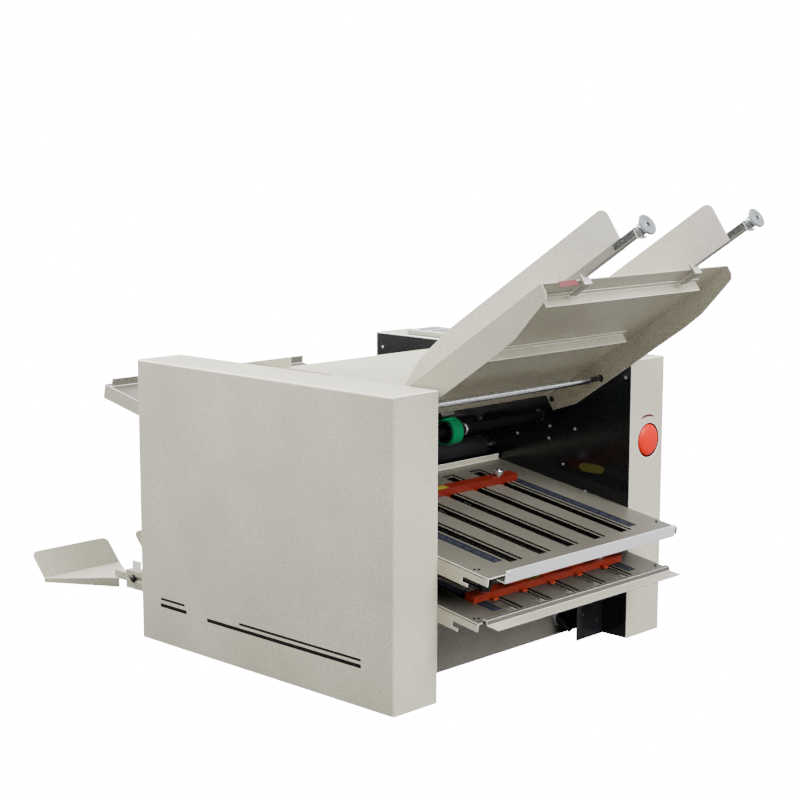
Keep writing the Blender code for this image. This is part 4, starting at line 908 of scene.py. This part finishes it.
# The hole's wall is lined in the same near-black finish as the slots' painted shade.
profile = [
    (0.0237, -0.0105), (0.0237, -0.0001), (0.0245, -0.0001), (0.0245, -0.0019), (0.0243, -0.0021),
    (0.0243, -0.0105), (0.0237, -0.0105),
]
liner = turned("emergency_stop_liner", profile, cap_place, [painted_black_shade], steps=64)
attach(liner, "machine")


def cut_out(name, outline, thickness, finish, place):
    """A thin flat piece cut along an outline that lies in its place's XY plane."""
    shape = bmesh.new()
    corners = [shape.verts.new((x, y, 0)) for x, y in outline]
    raised = bmesh.ops.extrude_face_region(shape, geom=[shape.faces.new(corners)])
    lifted = [item for item in raised["geom"] if isinstance(item, bmesh.types.BMVert)]
    bmesh.ops.translate(shape, vec=(0, 0, thickness), verts=lifted)
    bmesh.ops.recalc_face_normals(shape, faces=shape.faces)
    shape.transform(place)
    piece = in_scene(name, finished(name, shape, [finish]))
    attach(piece, "machine")


dark_red_ink = even_tint("dark_red_screen_ink", "#3A0A14", "#4A1019", 0.4)
turns = [math.radians(8 + 8.2 * i) for i in range(21)]
arc = [(0.0150 * math.cos(a), 0.0058 * math.sin(a)) for a in turns]
arc += [(0.0160 * math.cos(a), 0.0038 * math.sin(a) - 0.0012) for a in reversed(turns)]
upright = Matrix.Translation((0.2365, cover_front, 0.3122)) @ Matrix.Rotation(math.pi / 2, 4, "X")
cut_out("turn_mark", arc, 0.0001, dark_red_ink, upright)

# Oval mark: printed film with a darker border, glued on the right frame's inner face. It is
# left without its text.
olive_film = even_tint("olive_polyester_film", "#3E3C14", "#474518", 0.5)
dull_film = even_tint("dull_yellow_polyester_film", "#5E5B22", "#54511D", 0.5)
facing_left = Matrix.Translation((frame_inner, -0.1825, 0.237)) @ Matrix.Rotation(-math.pi / 2, 4, "Y")
for name, half_length, half_height, lift, finish in (
    ("oval_mark_border", 0.0225, 0.0068, 0.0001, olive_film),
    ("oval_mark", 0.0212, 0.0055, 0.0002, dull_film),
):
    oval = []
    for a in [math.radians(10 * i) for i in range(36)]:
        across = math.copysign(abs(math.cos(a)) ** 0.55, math.cos(a))
        along = math.copysign(abs(math.sin(a)) ** 0.75, math.sin(a))
        oval.append((half_height * along, half_length * across))
    cut_out(name, oval, lift, finish, facing_left)

# Control panel: a low moulded housing on the right cover with rubber keys and a counter
# behind a smoked window. It rests on the cover's top.
panel_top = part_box("control_panel")[1].z
panel_middle = 0.236
light_abs = even_tint("moulded_light_grey_abs", "#BDBCB6", "#B0AFA9", 0.4, **glossy)
broken_edges("control_panel", 0.0018, [light_abs])
key_rubber = even_tint("silicone_keys", "#85868A", "#77787C", 0.55)
smoked = even_tint("smoked_acrylic", "#17191C", "#1D1F22", 0.12, **glossy)
key_z = panel_top + 0.0004
panel_parts = [((panel_middle, 0.052, panel_top), (0.044, 0.030, 0.0016), 1)]
for row in range(4):
    for column in (-1, 0, 1):
        middle = (panel_middle + 0.016 * column, 0.088 + 0.017 * row, key_z)
        panel_parts.append((middle, (0.011, 0.011, 0.0024), 0))
panel_parts.append(((panel_middle, 0.166, key_z), (0.040, 0.014, 0.0024), 0))
slab_piece("control_panel_keys", panel_parts, [key_rubber, smoked], 0.0005)
counter_ink = even_tint("pale_green_segments", "#8FBF9A", "#7FAF8A", 0.4)
counter = [("0", 0.2355, 0.041 + 0.0075 * number, 0.011) for number in range(4)]
window = Matrix.Translation((0, 0, panel_top + 0.0009))
figures("counter_figures", counter, counter_ink, window)

# Delivery arms and wings: folded channels that carry two sheet wings, which catch the folded
# sheets behind the machine. A screw clamps each wing in its arm's slot.
for node in ("left_delivery_arm", "right_delivery_arm", "left_delivery_wing", "right_delivery_wing"):
    broken_edges(node, 0.0005, coated)
for side, x in (("left", -0.1333), ("right", 0.0677)):
    profile = [
        (0, 0.0001), (0.0024, 0.0001), (0.0024, 0.0080), (0.0064, 0.0080), (0.0064, 0.0090),
        (0.0046, 0.0091), (0.0046, 0.0108), (0.0040, 0.0118), (0.0024, 0.0124), (0, 0.0126),
    ]
    node = f"{side}_delivery_wing_screw"
    place = axis_place(x, 0.446, 0.0242, (-1, 0, 0))
    wear(turned(f"{node}_turned", profile, place, [black_lacquer], steps=32), node)
# The lugs take the near-white highlight coat all over, as a painted highlight.
lugs = [((x, 0.4385, 0.0442), (0.0014, 0.021, 0.0176), 0) for x in (-0.1400, 0.0610)]
slab_piece("delivery_arm_lugs", lugs, [highlight_coat], 0.0004)

# Floor: plain and pale, matt, with a slow change of tone; not part of the machine. It looks
# white to the camera, as the photograph's background, and throws less light on the machine.
floor_shape = bmesh.new()
bmesh.ops.create_circle(floor_shape, cap_ends=True, radius=30, segments=96)
floor_paint, tree, where = surface("matt_white_floor_paint", 0.0, 0.9)
tone = add(tree, "ShaderNodeTexNoise", {"Scale": 1.5, "Detail": 2, "Vector": where})
white = add(tree, "ShaderNodeMix", {"data_type": "RGBA", 0: tone, 6: "#FAFAFA", 7: "#F6F6F6"})
seen = add(tree, "ShaderNodeLightPath").outputs["Is Camera Ray"]
both = add(tree, "ShaderNodeMix", {"data_type": "RGBA", 0: seen, 6: "#626262", 7: white})
glow = add(tree, "ShaderNodeMapRange", {"Value": seen, "To Max": 15})
glowing = {"Emission Color": "#FFFFFF", "Emission Strength": glow}
add(tree, "Principled BSDF", {"Base Color": both, **glowing})
floor = in_scene("studio_floor", finished("studio_floor", floor_shape, [floor_paint]))

# Light: a white studio with one very soft light from above, a low one from the front and a
# large lamp near the left side. The camera sees the white backdrop brighter than it lights.
world = bpy.data.worlds.new("studio")
bpy.context.scene.world = world
world.use_nodes = True
sky = world.node_tree
rays = add(sky, "ShaderNodeLightPath").outputs
strength = 0.2
for ray, extra in (("Is Glossy Ray", 1.5), ("Is Camera Ray", 17)):
    sum_up = {"operation": "MULTIPLY_ADD", 0: rays[ray], 1: extra, 2: strength}
    strength = add(sky, "ShaderNodeMath", sum_up)
add(sky, "Background", {"Color": "#FFFFFF", "Strength": strength})
for name, toward, power, spread in (
    ("rear_top_light", (0, 0.7, 0.7), 10.0, 40),
    ("front_light", (0, -0.76, 0.62), 8.3, 40),
):
    lamp = bpy.data.lights.new(name, "SUN")
    lamp.energy = power
    lamp.angle = math.radians(spread)
    holder = in_scene(name, lamp)
    holder.matrix_world = Vector(toward).to_track_quat("Z", "Y").to_matrix().to_4x4()
lamp = bpy.data.lights.new("left_lamp", "AREA")
lamp.energy = 31
lamp.shape = "DISK"
lamp.size = 0.9
holder = in_scene("left_lamp", lamp)
holder.matrix_world = axis_place(-1.25, 0.2, 1.55, (-0.95, 0.1, 1.35))
holder.visible_camera = False

# Camera: where the photograph was taken from, front left and slightly above, with a long lens.
# Its angles and its place were fitted to the edges in the photograph.
yaw = math.radians(45.883)
pitch = math.radians(8.764)
roll = math.radians(0.059)
forward = Vector((math.cos(pitch) * math.sin(yaw), math.cos(pitch) * math.cos(yaw), -math.sin(pitch)))
level_right = Vector((math.cos(yaw), -math.sin(yaw), 0))
level_up = level_right.cross(forward)
right = math.cos(roll) * level_right + math.sin(roll) * level_up
up = math.cos(roll) * level_up - math.sin(roll) * level_right
lens = bpy.data.cameras.new("photograph_camera")
lens.lens = 78.005
lens.sensor_width = 36
lens.clip_end = 60
camera = in_scene("photograph_camera", lens)
axes = Matrix((right, up, -forward)).transposed().to_4x4()
camera.matrix_world = Matrix.Translation((-1.73433, -1.675437, 0.709142)) @ axes
bpy.context.scene.camera = camera
